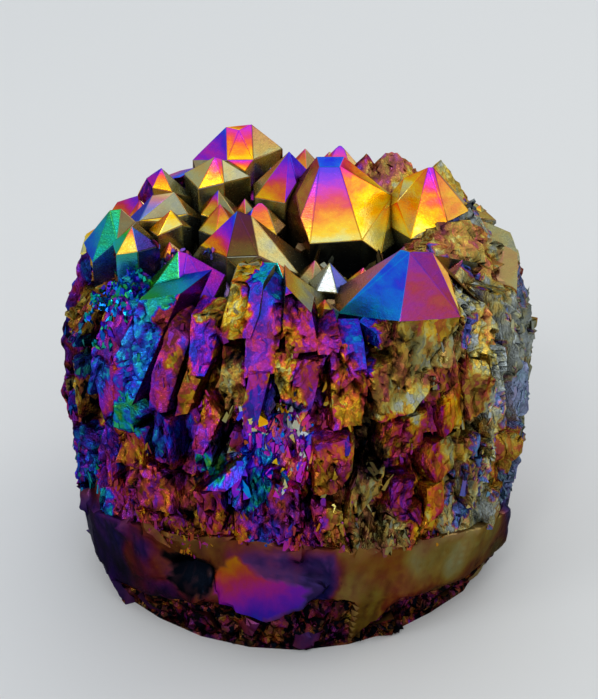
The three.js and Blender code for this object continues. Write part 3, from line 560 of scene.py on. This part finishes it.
def flankTone(place, facing, groove):
    near = nearestPatch(place + noise.noise_vector(place * flankDrift["edgeScale"]) * flankDrift["edge"])
    across = flankDrift["streakAcross"]
    streak = noise.noise(Vector((place.x * across, place.y * across, place.z * flankDrift["streakUp"])))
    drift = noise.noise(place * flankDrift["driftScale"])
    film = near[2] + near[3] * (drift * flankDrift["drift"] + streak * flankDrift["streak"])
    if near[4] < flankDrift["silverGrey"]:
        film = blend(film, flankDrift["grooveFilm"], flankDrift["grooveShare"] * groove)
    elif near[2] < flankDrift["silverFilm"] and drift + streak > flankDrift["blueFrom"]:
        film = flankDrift["blueFilm"]
    # painted shade: faces turned right of the outward bearing, and the grooves, come out darker
    turned = math.sin(math.radians(facing - bearingOf(place)))
    shade = near[5] + flankDrift["turnShade"] * turned + flankDrift["grooveShade"] * groove
    return film, near[4] + flankDrift["greyWash"] * (1 + drift), shade + flankDrift["driftShade"] * drift


def insideOutline(bearing, height, corners):
    inside = False
    for (startBearing, startHeight), (endBearing, endHeight) in zip(corners, corners[1:] + corners[:1]):
        if (startHeight > height) != (endHeight > height):
            crossing = blend(startBearing, endBearing, (height - startHeight) / (endHeight - startHeight))
            if bearing < crossing:
                inside = not inside
    return inside


def rindTone(place):
    bent = place + noise.noise_vector(place * rindDrift["edgeScale"]) * rindDrift["edge"]
    bearing = bearingOf(bent)
    fade = rindDrift["fade"]
    weights = [(1 / (patchDistance(patch, bearing, bent.z) ** fade + 1), patch) for patch in rindPatches]
    total = sum(weight for weight, _ in weights)
    film, grey, shade = (
        sum(weight * patch[item] for weight, patch in weights) / total for item in (2, 3, 4))
    fibre = noise.noise(Vector((bearing * rindDrift["fibreAcross"], place.z * rindDrift["fibreUp"], 3)))
    edge = heightAlong(rindEdge, bearing)
    fringe = max(0.0, 1 - (edge - place.z) / rindDrift["fringeWidth"])
    film = blend(film, rindDrift["fringeFilm"], fringe * rindDrift["fringeShare"])
    film += rindDrift["fibre"] * fibre
    return film, grey + rindDrift["greyWash"], shade + rindDrift["fibreShade"] * fibre


def insidePit(place):
    ragged = Vector()
    for scale, reach in pit["ragged"]:
        ragged += noise.noise_vector(place * scale) * reach
    bent = place + ragged
    return insideOutline(bearingOf(bent), bent.z, pit["outline"])


# the pit is painted near black: painted shade in the hollow
def pitTone(place):
    return pit["film"], pit["grey"], pit["shade"] + pit["swing"] * noise.noise(place * pit["scale"])


def wander(row, place):
    value = row["mean"]
    for scale, swing in row["swings"]:
        value += swing * noise.noise(place * scale)
    return value


def underTone(place):
    return tuple(wander(underside[name], place) for name in ("film", "grey", "shade"))


def brightChipTone(place):
    across = (bearingOf(place) - brightChip["left"]) / (brightChip["right"] - brightChip["left"])
    drop = (brightChip["top"] - place.z) / (brightChip["top"] - brightChip["foot"])
    share = across * brightChip["acrossShare"] + drop * brightChip["dropShare"] - brightChip["delay"]
    film = blend(*brightChip["film"], share) + brightChip["swing"] * noise.noise(place * brightChip["scale"])
    return film, 0, brightChip["shade"]


def subdivideTo(mesh, kindLayer):
    limits = {kind: surface[kind + "Edge"] * surface["spareLength"] * mm for kind in kinds}
    for _ in range(surface["rounds"]):
        longEdges = []
        for edge in mesh.edges:
            limit = min(limits[kinds[face[kindLayer]]] for face in edge.link_faces)
            if edge.calc_length() > limit:
                longEdges.append(edge)
        if not longEdges:
            break
        bmesh.ops.subdivide_edges(mesh, edges=longEdges, cuts=1)
        split = [face for face in mesh.faces if len(face.verts) > 3]
        bmesh.ops.triangulate(mesh, faces=split, quad_method="SHORT_EDGE")  # other cuts fold thin faces over


def cornersInside(mesh, kindLayer, kind):
    number = kinds.index(kind)
    return [vertex for vertex in mesh.verts if all(face[kindLayer] == number for face in vertex.link_faces)]


def wearEdges(mesh, kindLayer):
    corners = cornersInside(mesh, kindLayer, "point")
    pointKind = kinds.index("point")
    smallest = surface["smallestFace"] * mm * mm
    broad = [face for face in mesh.faces if face[kindLayer] == pointKind and face.calc_area() > smallest]
    thickness = surface["arris"] * mm
    rims = bmesh.ops.inset_individual(mesh, faces=broad, thickness=thickness, use_even_offset=True)
    mesh.normal_update()
    for vertex in corners:
        vertex.co -= vertex.normal * surface["arrisDrop"] * mm
    return rims["faces"]


def softenRind(mesh, kindLayer):
    crease = math.radians(surface["softCrease"])
    inner = cornersInside(mesh, kindLayer, "rind")
    soft = [vertex for vertex in inner
            if all(edge.calc_face_angle(0) < crease for edge in vertex.link_edges)]
    for chosen, rounds in ((soft, surface["softening"]), (inner, surface["blunting"])):
        for _ in range(rounds):
            bmesh.ops.smooth_vert(mesh, verts=chosen, factor=0.5, use_axis_x=True, use_axis_y=True,
                                  use_axis_z=True)
    for vertex in inner:
        place = vertex.co / mm
        outward = Vector((place.x, place.y, 0)).normalized()
        vertex.co += outward * wander(rindDrift["swell"], place) * surface["rindSwell"] * mm


def roughness(kind, place):
    if kind == "flank":
        return nearestPatch(place)[6]
    return surface["underRough"] if kind == "under" else 0.0


# Marks each face with its kind and its number, and lists what each crystal face takes: its film, its lowest
# and highest corner, and where it faces.
def labelFaces(mesh, layers):
    marks = []
    for face in mesh.faces:
        kind = kindOf(face)
        face[layers["kind"]] = kinds.index(kind)
        face[layers["crystalFace"]] = len(marks)
        heights = [vertex.co.z / mm for vertex in face.verts]
        tone = pointTone(face) if kind == "point" else None
        marks.append((tone, min(heights), max(heights), bearingOf(face.normal)))
    return marks


def raiseRelief(mesh, kindLayer):
    mesh.normal_update()
    mesh.verts.index_update()
    grooves = [0.0] * len(mesh.verts)
    for vertex in mesh.verts:
        place = vertex.co / mm
        levels = [roughness(kinds[face[kindLayer]], place) for face in vertex.link_faces]
        level = sum(levels) / len(levels)
        if level > surface["leastRough"] and place.z > surface["reliefFoot"]:
            raised, groove = flankRelief(place)
            grooves[vertex.index] = groove * min(1.0, level * surface["grooveGain"])
            raised = (raised - surface["reliefSink"]) * level + lumpRelief(place)
            vertex.co += Vector((place.x, place.y, 0)).normalized() * raised * mm
    mesh.normal_update()
    return grooves


def pointFilm(place, mark, worn):
    tone, low, high, _ = mark
    share = max(0.0, (place.z - low) / max(0.5, high - low))
    film = blend(tone[0], tone[1], share ** tone[4]) + surface["arrisFilm"] * worn
    inner = math.hypot(place.x, place.y) < zones["crownRadius"]
    # painted shade deep between the points
    depth = (valley["top"] - place.z) / valley["depth"] if low < valley["foot"] and inner else 0
    return film, blend(tone[2], valley["grey"], depth), blend(tone[3], valley["shade"], depth)


def lowerFilm(place, kind):
    if kind == "rind" and insideOutline(bearingOf(place), place.z, brightChip["outline"]):
        return brightChipTone(place)
    if kind in ("rind", "under") and insidePit(place):
        return pitTone(place)
    return rindTone(place) if kind == "rind" else underTone(place)


def paintFilm(mesh, layers, marks, grooves):
    hollows = hollowDepths(mesh)
    filmLayer = mesh.loops.layers.float_color.new("film")
    flankTones = {}
    for face in mesh.faces:
        kind = kinds[face[layers["kind"]]]
        face.material_index = finishSlots[kind]
        face.smooth = kind in ("flank", "rind", "under")
        mark = marks[face[layers["crystalFace"]]]
        for loop in face.loops:
            place = loop.vert.co / mm
            index = loop.vert.index
            if kind == "point":
                film, grey, shade = pointFilm(place, mark, face[layers["worn"]])
            elif kind == "flank":
                if index not in flankTones:
                    flankTones[index] = flankTone(place, mark[3], grooves[index])
                film, grey, shade = flankTones[index]
            else:
                film, grey, shade = lowerFilm(place, kind)
            # corners deep between walls darken toward near black: painted shade
            hollow = hollows[index] * (surface["pointHollow"] if kind == "point" else 1)
            loop[filmLayer] = (film / filmScale, grey, blend(shade, 1, hollow), 1)


def buildCluster(node):
    mesh = mergedCopy(node)
    layers = {name: mesh.faces.layers.int.new(name) for name in ("kind", "crystalFace", "worn")}
    marks = labelFaces(mesh, layers)
    for face in wearEdges(mesh, layers["kind"]):
        face[layers["worn"]] = 1
    bmesh.ops.triangulate(mesh, faces=mesh.faces)
    subdivideTo(mesh, layers["kind"])
    softenRind(mesh, layers["kind"])
    print("cluster has", len(mesh.faces), "faces")
    grooves = raiseRelief(mesh, layers["kind"])
    paintFilm(mesh, layers, marks, grooves)
    for edge in mesh.edges:
        edge.smooth = edge.calc_face_angle(0) < math.radians(surface["softCrease"])
    return mesh


# How deep each corner lies between walls, for painted shade in hollows: rays are sent out round its normal.
def hollowDepths(mesh):
    mesh.verts.index_update()
    tree = BVHTree.FromBMesh(mesh)
    reach = surface["hollowReach"] * mm
    rays = surface["hollowRays"]
    depths = []
    for vertex in mesh.verts:
        start = vertex.co + vertex.normal * surface["hollowLift"] * mm
        side = vertex.normal.orthogonal()
        blocked = 0.0
        for turn in range(rays):
            turned = Matrix.Rotation(math.radians(360 / rays * turn), 3, vertex.normal) @ side
            direction = (vertex.normal * surface["hollowSpread"] + turned).normalized()
            distance = tree.ray_cast(start, direction, reach)[3]
            if distance is not None:
                blocked += 1 - distance / reach
        depth = (blocked / rays - surface["hollowFloor"]) * surface["hollowGain"]
        depths.append(max(0.0, min(1.0, depth)))
    return depths


cluster = bpy.data.objects["quartz_cluster"]
clusterMesh = buildCluster(cluster)
auraData = bpy.data.meshes.new("auraCluster")
clusterMesh.to_mesh(auraData)
clusterMesh.free()
auraCluster = bpy.data.objects.new("auraCluster", auraData)
bpy.context.collection.objects.link(auraCluster)
print("cluster modelled")

# Small broken crystals that stand out of the flank: how many, where they lie round it, and how high above
# the rind's edge. "crowding" above 1 gathers them low down. The film swings from one to the next. Their
# shade adds to the flank's, painted shade included; the bright cluster's shade below 0 is painted light.
splinters = {
    "all round": {
        "count": 2100, "bearings": (-180, 180), "heights": (0, 46), "width": (0.6, 2.1), "tall": (1.2, 5.0),
        "crowding": 1.7, "film": 20, "films": None, "shade": 0.1, "seed": 3},
    "fringe": {
        "count": 1100, "bearings": (-180, 180), "heights": (-2.0, 1.6), "width": (0.4, 1.2),
        "tall": (0.7, 2.2), "crowding": 0.6, "film": 14, "films": None, "shade": 0.15, "seed": 5},
    "bright cluster": {
        "count": 170, "bearings": (-15, 4), "heights": (11, 29), "width": (1.5, 3.8), "tall": (2.0, 5.4),
        "crowding": 1, "film": 8, "films": (3, 26, 70, 74, 78, 82, 90, 108, 120), "shade": -0.6, "seed": 4},
}

# Crumbs and little crystals in the hollows and on the broken tops of the crown: where they lie seen from
# above, the heights they may rest at, their sizes, film, grey and shade.
crumbs = {
    "hollows": {
        "count": 230, "centre": (0, 2), "radius": 30, "rest": (67, 72), "width": (1.6, 3.8),
        "tall": (3.0, 8.0), "film": (8, 44), "grey": 0.5, "shade": 0.45, "seed": 11},
    "left druze": {
        "count": 240, "centre": (-33, -20), "radius": 6.5, "rest": (64, 79), "width": (0.8, 1.9),
        "tall": (0.9, 2.2), "film": (90, 168), "grey": 0, "shade": 0.1, "seed": 15},
    "pink druze": {
        "count": 220, "centre": (-21, -11), "radius": 5.5, "rest": (66, 79), "width": (0.7, 1.9),
        "tall": (0.9, 2.6), "film": (50, 130), "grey": 0.25, "shade": 0.05, "seed": 16},
}

# One splinter is a tapering prism of unit height, cut off slanting at both ends.
splinterShape = {
    "shapes": 8, "sides": 5, "mostFaces": 12, "taper": 0.55, "thickness": 0.75, "cuts": (0.22, -0.25),
    "cutRise": 0.9, "lean": 0.4, "leanOut": 0.6, "sink": 0.3, "stand": 0.15, "crumbLean": 0.4,
    "spare": 0.25,           # how many stand even where the flank is smooth
    "ownSwing": 0.5,         # how much the film swings from face to face
    "crumbSwing": 12, "crumbShade": 0.25,
}
# Where they start: outside the wall or above the crown, and how far they may go to meet it.
drop = {"outside": 62, "inward": 30, "lift": 0.6, "above": 95, "down": 40}


def splinterTemplate(chance):
    shape = bmesh.new()
    bmesh.ops.create_cone(shape, cap_ends=True, segments=splinterShape["sides"], radius1=0.5,
                          radius2=0.5 * splinterShape["taper"], depth=1)
    for height in splinterShape["cuts"]:
        upward = math.copysign(splinterShape["cutRise"], height)
        slope = Vector((chance.uniform(-1, 1), chance.uniform(-1, 1), upward)).normalized()
        geometry = shape.verts[:] + shape.edges[:] + shape.faces[:]
        cut = bmesh.ops.bisect_plane(shape, geom=geometry, plane_co=(0, 0, height), plane_no=slope,
                                     clear_outer=True)
        edges = [item for item in cut["geom_cut"] if isinstance(item, bmesh.types.BMEdge)]
        bmesh.ops.holes_fill(shape, edges=edges, sides=0)
    bmesh.ops.recalc_face_normals(shape, faces=shape.faces)
    data = bpy.data.meshes.new("splinterShape")
    shape.to_mesh(data)
    shape.free()
    return data


def splinterPlace(tree, settings, chance):
    bearing = chance.uniform(*settings["bearings"])
    low, high = settings["heights"]
    rise = (high - low) * chance.random() ** settings["crowding"]
    height = heightAlong(rindEdge, bearing) + drop["lift"] + low + rise
    start = around(bearing, drop["outside"], height) * mm
    inward = Vector((-start.x, -start.y, 0)).normalized()
    hit = tree.ray_cast(start, inward, drop["inward"] * mm)[0]
    return hit, -inward


def splinterSize(width, tall):
    return Matrix.Diagonal((width * mm, width * splinterShape["thickness"] * mm, tall * mm, 1))


def addSplinter(pile, chosen, matrix, films, grey, shade):
    filmLayer = pile.loops.layers.float_color["film"]
    shape = chosen.copy()
    shape.transform(matrix)
    first = len(pile.faces)
    pile.from_mesh(shape)
    bpy.data.meshes.remove(shape)
    pile.faces.ensure_lookup_table()
    for face, film in zip(pile.faces[first:], films):
        for loop in face.loops:
            loop[filmLayer] = (film / filmScale, grey, shade, 1)


def addCrumbs(pile, tree, settings, shapes, chance):
    lowest, highest = settings["rest"]
    spread = splinterShape["crumbLean"]
    for _ in range(settings["count"]):
        distance = settings["radius"] * math.sqrt(chance.random())
        start = Vector((*settings["centre"], drop["above"])) + around(chance.uniform(-180, 180), distance, 0)
        width = chance.uniform(*settings["width"])
        tall = chance.uniform(*settings["tall"])
        lean = Vector((chance.uniform(-spread, spread), chance.uniform(-spread, spread), 1))
        film = chance.uniform(*settings["film"])
        turn = chance.uniform(-180, 180)
        shade = settings["shade"] + chance.uniform(-1, 1) * splinterShape["crumbShade"]
        chosen = chance.choice(shapes)
        hit = tree.ray_cast(start * mm, Vector((0, 0, -1)), drop["down"] * mm)[0]
        if hit is None or not lowest < hit.z / mm < highest:
            continue
        upright = lean.to_track_quat("Z", "Y").to_matrix().to_4x4()
        spin = Matrix.Rotation(math.radians(turn), 4, "Z")
        seat = hit + lean.normalized() * tall * splinterShape["stand"] * mm
        films = [film + splinterShape["crumbSwing"] * chance.uniform(-1, 1)
                 for _ in range(splinterShape["mostFaces"])]
        matrix = Matrix.Translation(seat) @ (upright @ spin) @ splinterSize(width, tall)
        addSplinter(pile, chosen, matrix, films, settings["grey"], shade)


def addFlankSplinters(pile, tree, settings, shapes, chance):
    upright = Vector((0, 0, 1))
    for _ in range(settings["count"]):
        hit, outward = splinterPlace(tree, settings, chance)
        width = chance.uniform(*settings["width"])
        tall = chance.uniform(*settings["tall"])
        lean = [chance.uniform(-1, 1) * splinterShape["lean"] for _ in range(2)]
        chosen = chance.choice(shapes)
        turn = chance.uniform(-180, 180)
        swing = chance.uniform(-1, 1)
        fresh = chance.choice(settings["films"]) if settings["films"] else None
        if hit is None or chance.random() > splinterShape["spare"] + roughness("flank", hit / mm):
            continue
        across = upright.cross(outward)
        upward = upright + across * lean[0] + outward * lean[1] * splinterShape["leanOut"]
        upward.normalize()
        aside = upward.cross(outward).normalized()
        stance = Matrix((aside, upward.cross(aside) * -1, upward)).transposed().to_4x4()
        spin = Matrix.Rotation(math.radians(turn), 4, "Z")
        seat = hit - outward * width * splinterShape["sink"] * mm
        film, grey, shade = flankTone(hit / mm, bearingOf(outward), 0)
        if fresh is not None:
            film, grey = fresh, 0
        films = [film + settings["film"] * (swing + splinterShape["ownSwing"] * chance.uniform(-1, 1))
                 for _ in range(splinterShape["mostFaces"])]
        matrix = Matrix.Translation(seat) @ stance @ splinterSize(width, tall) @ spin
        addSplinter(pile, chosen, matrix, films, grey, shade + settings["shade"])


def buildSplinters(body):
    tree = BVHTree.FromObject(body, bpy.context.evaluated_depsgraph_get())
    pile = bmesh.new()
    pile.loops.layers.float_color.new("film")
    for addSet, sets in ((addFlankSplinters, splinters), (addCrumbs, crumbs)):
        for settings in sets.values():
            chance = random.Random(settings["seed"])
            shapes = [splinterTemplate(chance) for _ in range(splinterShape["shapes"])]
            addSet(pile, tree, settings, shapes, chance)
            for shape in shapes:
                bpy.data.meshes.remove(shape)
    bmesh.ops.triangulate(pile, faces=pile.faces)
    return pile


splinterMesh = buildSplinters(auraCluster)
splinterData = bpy.data.meshes.new("splinters")
splinterMesh.to_mesh(splinterData)
splinterMesh.free()
splinterPieces = bpy.data.objects.new("splinters", splinterData)
bpy.context.collection.objects.link(splinterPieces)
print("splinters modelled:", len(splinterData.polygons), "faces")


def fromHex(text):
    channels = []
    for start in (0, 2, 4):
        value = int(text[start:start + 2], 16) / 255
        channels.append(value / 12.92 if value <= 0.04045 else ((value + 0.055) / 1.055) ** 2.4)
    return (*channels, 1)


def addNode(tree, kind, settings=None, links=None):
    node = tree.nodes.new(kind)
    for name, value in (settings or {}).items():
        if name in node.inputs:
            node.inputs[name].default_value = value
        else:
            setattr(node, name, value)
    for name, source in (links or {}).items():
        tree.links.new(source, node.inputs[name])
    return node


# Titanium vapour fused onto quartz leaves a thin clear film over metal, and its thickness gives the colour.
filmColours = [
    (0, "c0c6c6"), (12, "b4b294"), (22, "dcd070"), (32, "eec010"), (44, "ec9214"), (54, "e2602c"),
    (63, "d83a62"), (74, "c82cae"), (86, "9028d0"), (98, "5628d4"), (110, "2444dc"), (124, "1080e0"),
    (138, "12b0cc"), (152, "12aa92"), (166, "28a856"), (182, "86c23e"), (200, "d8d060"),
]


# Where the film is worn thin it turns to the grey of the metal, and that grey also stands for painted shade
# on the shaded sides of the small points; hollows turn nearly black with painted shade.
filmMetal = {"wash": "98a19b", "dark": "05080f", "metallic": 0.95, "coatRoughness": 0.1, "rampFrom": 0.25}


def filmRamp(tree, thickness):
    ramp = addNode(tree, "ShaderNodeValToRGB", links={"Fac": thickness})
    stops = ramp.color_ramp.elements
    stops[0].position = filmColours[0][0] / filmScale
    stops[0].color = fromHex(filmColours[0][1])
    stops[1].position = filmColours[-1][0] / filmScale
    stops[1].color = fromHex(filmColours[-1][1])
    for film, colour in filmColours[1:-1]:
        stop = stops.new(film / filmScale)
        stop.color = fromHex(colour)
    return ramp.outputs["Color"]


def auraMaterial(name, look):
    material = bpy.data.materials.new(name)
    material.use_nodes = True
    tree = material.node_tree
    tree.nodes.clear()

    # places in millimetres, bent a little, and drawn out along the upright
    place = addNode(tree, "ShaderNodeTexCoord")
    inMm = addNode(tree, "ShaderNodeVectorMath", {"operation": "MULTIPLY"}, {0: place.outputs["Object"]})
    inMm.inputs[1].default_value = (1 / mm, 1 / mm, 1 / mm)
    warp = addNode(tree, "ShaderNodeTexNoise", {"Scale": 1 / look["warpSize"], "Detail": 2},
                   {"Vector": inMm.outputs["Vector"]})
    bent = addNode(tree, "ShaderNodeVectorMath", {"operation": "MULTIPLY_ADD"},
                   {0: warp.outputs["Color"], 2: inMm.outputs["Vector"]})
    bent.inputs[1].default_value = (look["warp"], look["warp"], look["warp"])
    upright = addNode(tree, "ShaderNodeVectorMath", {"operation": "MULTIPLY"}, {0: bent.outputs["Vector"]})
    upright.inputs[1].default_value = (1, 1, look["squeeze"])
    spot = {"Vector": upright.outputs["Vector"]}

    # chips with cracks between them, a slow drift and a fine grain
    chips = addNode(tree, "ShaderNodeTexVoronoi", {"Scale": 1 / look["chip"]}, spot)
    chance = addNode(tree, "ShaderNodeSeparateColor", links={"Color": chips.outputs["Color"]})
    borders = addNode(tree, "ShaderNodeTexVoronoi",
                      {"feature": "DISTANCE_TO_EDGE", "Scale": 1 / look["chip"]}, spot)
    crack = addNode(tree, "ShaderNodeMapRange",
                    {"From Min": 0, "From Max": look["crackWidth"], "To Min": look["crack"], "To Max": 0},
                    {"Value": borders.outputs["Distance"]})
    drift = addNode(tree, "ShaderNodeTexNoise",
                    {"Scale": 1 / look["driftSize"], "Detail": 4, "Roughness": 0.6}, spot)
    grain = addNode(tree, "ShaderNodeTexNoise",
                    {"Scale": 1 / look["grainSize"], "Detail": 5, "Roughness": 0.6}, spot)

    # the film's thickness, and its colour
    tone = addNode(tree, "ShaderNodeAttribute", {"attribute_name": "film"})
    parts = addNode(tree, "ShaderNodeSeparateColor", links={"Color": tone.outputs["Color"]})
    driftFilm = addNode(tree, "ShaderNodeMapRange",
                        {"From Min": filmMetal["rampFrom"], "From Max": 1 - filmMetal["rampFrom"],
                         "To Min": -look["drift"] / filmScale, "To Max": look["drift"] / filmScale},
                        {"Value": drift.outputs["Fac"]})
    chipFilm = addNode(tree, "ShaderNodeMapRange",
                       {"To Min": -look["chipFilm"] / filmScale, "To Max": look["chipFilm"] / filmScale},
                       {"Value": chance.outputs["Red"]})
    swing = addNode(tree, "ShaderNodeMath", {"operation": "ADD"},
                    {0: driftFilm.outputs["Result"], 1: chipFilm.outputs["Result"]})
    thickness = addNode(tree, "ShaderNodeMath", {"operation": "ADD"},
                        {0: parts.outputs["Red"], 1: swing.outputs["Value"]})
    colour = filmRamp(tree, thickness.outputs["Value"])
    wash = addNode(tree, "ShaderNodeMix", {"data_type": "RGBA"}, {0: parts.outputs["Green"], 6: colour})
    wash.inputs[7].default_value = fromHex(filmMetal["wash"])

    # shade, painted shade included, at least as dark as the painted shade in the cracks
    dim = addNode(tree, "ShaderNodeMapRange", {"To Min": look["dim"], "To Max": 1, "clamp": False},
                  {"Value": parts.outputs["Blue"]})
    dimmer = addNode(tree, "ShaderNodeMath", {"operation": "MAXIMUM"},
                     {0: dim.outputs["Result"], 1: crack.outputs["Result"]})
    chipShade = addNode(tree, "ShaderNodeMapRange",
                        {"To Min": -look["chipShade"], "To Max": look["chipShade"]},
                        {"Value": chance.outputs["Green"]})
    shade = addNode(tree, "ShaderNodeMath", {"operation": "ADD", "use_clamp": True},
                    {0: dimmer.outputs["Value"], 1: chipShade.outputs["Result"]})
    dark = addNode(tree, "ShaderNodeMix", {"data_type": "RGBA"},
                   {0: shade.outputs["Value"], 6: wash.outputs[2]})
    dark.inputs[7].default_value = fromHex(filmMetal["dark"])

    # relief and gloss
    height = addNode(tree, "ShaderNodeMath", {"operation": "MULTIPLY_ADD"},
                     {0: chance.outputs["Blue"], 2: grain.outputs["Fac"]})
    height.inputs[1].default_value = look["chipRise"]
    bump = addNode(tree, "ShaderNodeBump", {"Strength": look["bump"], "Distance": look["depth"] * mm},
                   {"Height": height.outputs["Value"]})
    gloss = addNode(tree, "ShaderNodeMapRange", {"To Min": look["smooth"], "To Max": look["rough"]},
                    {"Value": grain.outputs["Fac"]})
    shader = addNode(tree, "ShaderNodeBsdfPrincipled",
                     {"Metallic": filmMetal["metallic"], "Coat Weight": look["coat"],
                      "Coat Roughness": filmMetal["coatRoughness"]},
                     {"Base Color": dark.outputs[2], "Specular Tint": dark.outputs[2],
                      "Roughness": gloss.outputs["Result"], "Normal": bump.outputs["Normal"]})
    addNode(tree, "ShaderNodeOutputMaterial", links={"Surface": shader.outputs["BSDF"]})
    return material


# Sizes of the patterns in millimetres, and swings of the film on the scale of filmColours. A plain look has
# no chips and no cracks. "dim" is painted shade that lies over a whole finish, and "crack" painted shade
# in the cracks between chips.
plainLook = {
    "chip": 4, "crackWidth": 0.01, "crack": 0, "chipFilm": 0, "chipShade": 0, "chipRise": 0, "bump": 0.3,
    "coat": 0,
}
looks = {
    # grown faces mirror softly, in long drifts of colour
    "aura film on crystal faces": {
        "warpSize": 5, "warp": 2, "squeeze": 2.2, "driftSize": 7, "drift": 13, "grainSize": 0.9,
        "depth": 0.14, "dim": 0, "smooth": 0.16, "rough": 0.34, "coat": 0.15},
    # broken faces scatter the colour from chip to chip
    "aura film on broken quartz": {
        "warpSize": 2, "warp": 2.4, "squeeze": 0.28, "chip": 1, "crackWidth": 0.16, "crack": 0.45,
        "driftSize": 2.2, "drift": 18, "chipFilm": 11, "chipShade": 0.14, "chipRise": 0.7, "grainSize": 0.5,
        "bump": 0.75, "depth": 0.35, "dim": 0.2, "smooth": 0.12, "rough": 0.34},
    # the rind is satin, and darker with painted shade
    "aura film on the rind": {
        "warpSize": 4, "warp": 3, "squeeze": 0.5, "driftSize": 5, "drift": 9, "grainSize": 0.8,
        "depth": 0.2, "dim": 0.52, "smooth": 0.26, "rough": 0.44},
    # splinters are small and clean
    "aura film on fresh splinters": {
        "warpSize": 2.5, "warp": 1, "squeeze": 0.6, "driftSize": 2.5, "drift": 16, "grainSize": 0.5,
        "depth": 0.15, "dim": 0.2, "smooth": 0.15, "rough": 0.35},
}
finishes = {name: auraMaterial(name, {**plainLook, **look}) for name, look in looks.items()}
for name in ("aura film on crystal faces", "aura film on broken quartz", "aura film on the rind"):
    auraData.materials.append(finishes[name])
splinterData.materials.append(finishes["aura film on fresh splinters"])
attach(splinterPieces, "root")
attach(auraCluster, "root")
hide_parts("quartz_cluster")
print("materials made")

# A pale floor and plain soft light.
studio = {
    "floor": "d9d7d2", "floorRoughness": 0.9, "floorHalf": 2.5, "sky": "c4ccd6", "skyStrength": 1.2,
    "aim": (0, 0, 0.05),
}
floorMesh = bmesh.new()
bmesh.ops.create_grid(floorMesh, x_segments=1, y_segments=1, size=studio["floorHalf"])
floorData = bpy.data.meshes.new("floor")
floorMesh.to_mesh(floorData)
floorMesh.free()
floor = bpy.data.objects.new("floor", floorData)
bpy.context.collection.objects.link(floor)
floorPaint = bpy.data.materials.new("matt pale card")
floorPaint.use_nodes = True
cardShader = floorPaint.node_tree.nodes["Principled BSDF"]
cardShader.inputs["Base Color"].default_value = fromHex(studio["floor"])
cardShader.inputs["Roughness"].default_value = studio["floorRoughness"]
floorData.materials.append(floorPaint)

lamps = [
    {"name": "overhead", "place": (0.0, -0.7, 1.1), "size": 1.5, "power": 4, "colour": "ffffff"},
    {"name": "glint", "place": (-0.3, -0.75, 0.9), "size": 0.15, "power": 0.9, "colour": "ffffff"},
    {"name": "left", "place": (-0.75, -0.45, 0.35), "size": 0.25, "power": 1.6, "colour": "f2f6ff"},
    {"name": "right", "place": (0.87, 0.29, 0.5), "size": 0.45, "power": 1.3, "colour": "fff8ee"},
    {"name": "back", "place": (0.2, 0.9, 0.8), "size": 1.0, "power": 1.5, "colour": "ffffff"},
]
for lamp in lamps:
    light = bpy.data.lights.new(lamp["name"], "AREA")
    light.size = lamp["size"]
    light.energy = lamp["power"]
    light.color = fromHex(lamp["colour"])[:3]
    lightObject = bpy.data.objects.new(lamp["name"], light)
    bpy.context.collection.objects.link(lightObject)
    lightObject.location = lamp["place"]
    aim = Vector(studio["aim"]) - lightObject.location
    lightObject.rotation_euler = aim.to_track_quat("-Z", "Y").to_euler()

world = bpy.data.worlds.new("studio")
bpy.context.scene.world = world
world.use_nodes = True
sky = world.node_tree.nodes["Background"]
sky.inputs["Color"].default_value = fromHex(studio["sky"])
sky.inputs["Strength"].default_value = studio["skyStrength"]

# The lens is as long as a picture of this many rows needs.
view = {"place": (0.000574, -0.249561, 0.1944), "pitch": 59.8, "focal": 1400, "rows": 699, "sensor": 36}
cameraData = bpy.data.cameras.new("camera")
cameraData.sensor_fit = "VERTICAL"
cameraData.sensor_height = view["sensor"]
cameraData.lens = view["focal"] * view["sensor"] / view["rows"]
cameraData.clip_start = 0.01
camera = bpy.data.objects.new("camera", cameraData)
bpy.context.collection.objects.link(camera)
camera.location = view["place"]
camera.rotation_euler = (math.radians(view["pitch"]), 0, 0)
bpy.context.scene.camera = camera
bpy.context.scene.view_settings.view_transform = "Standard"
print("stage set")
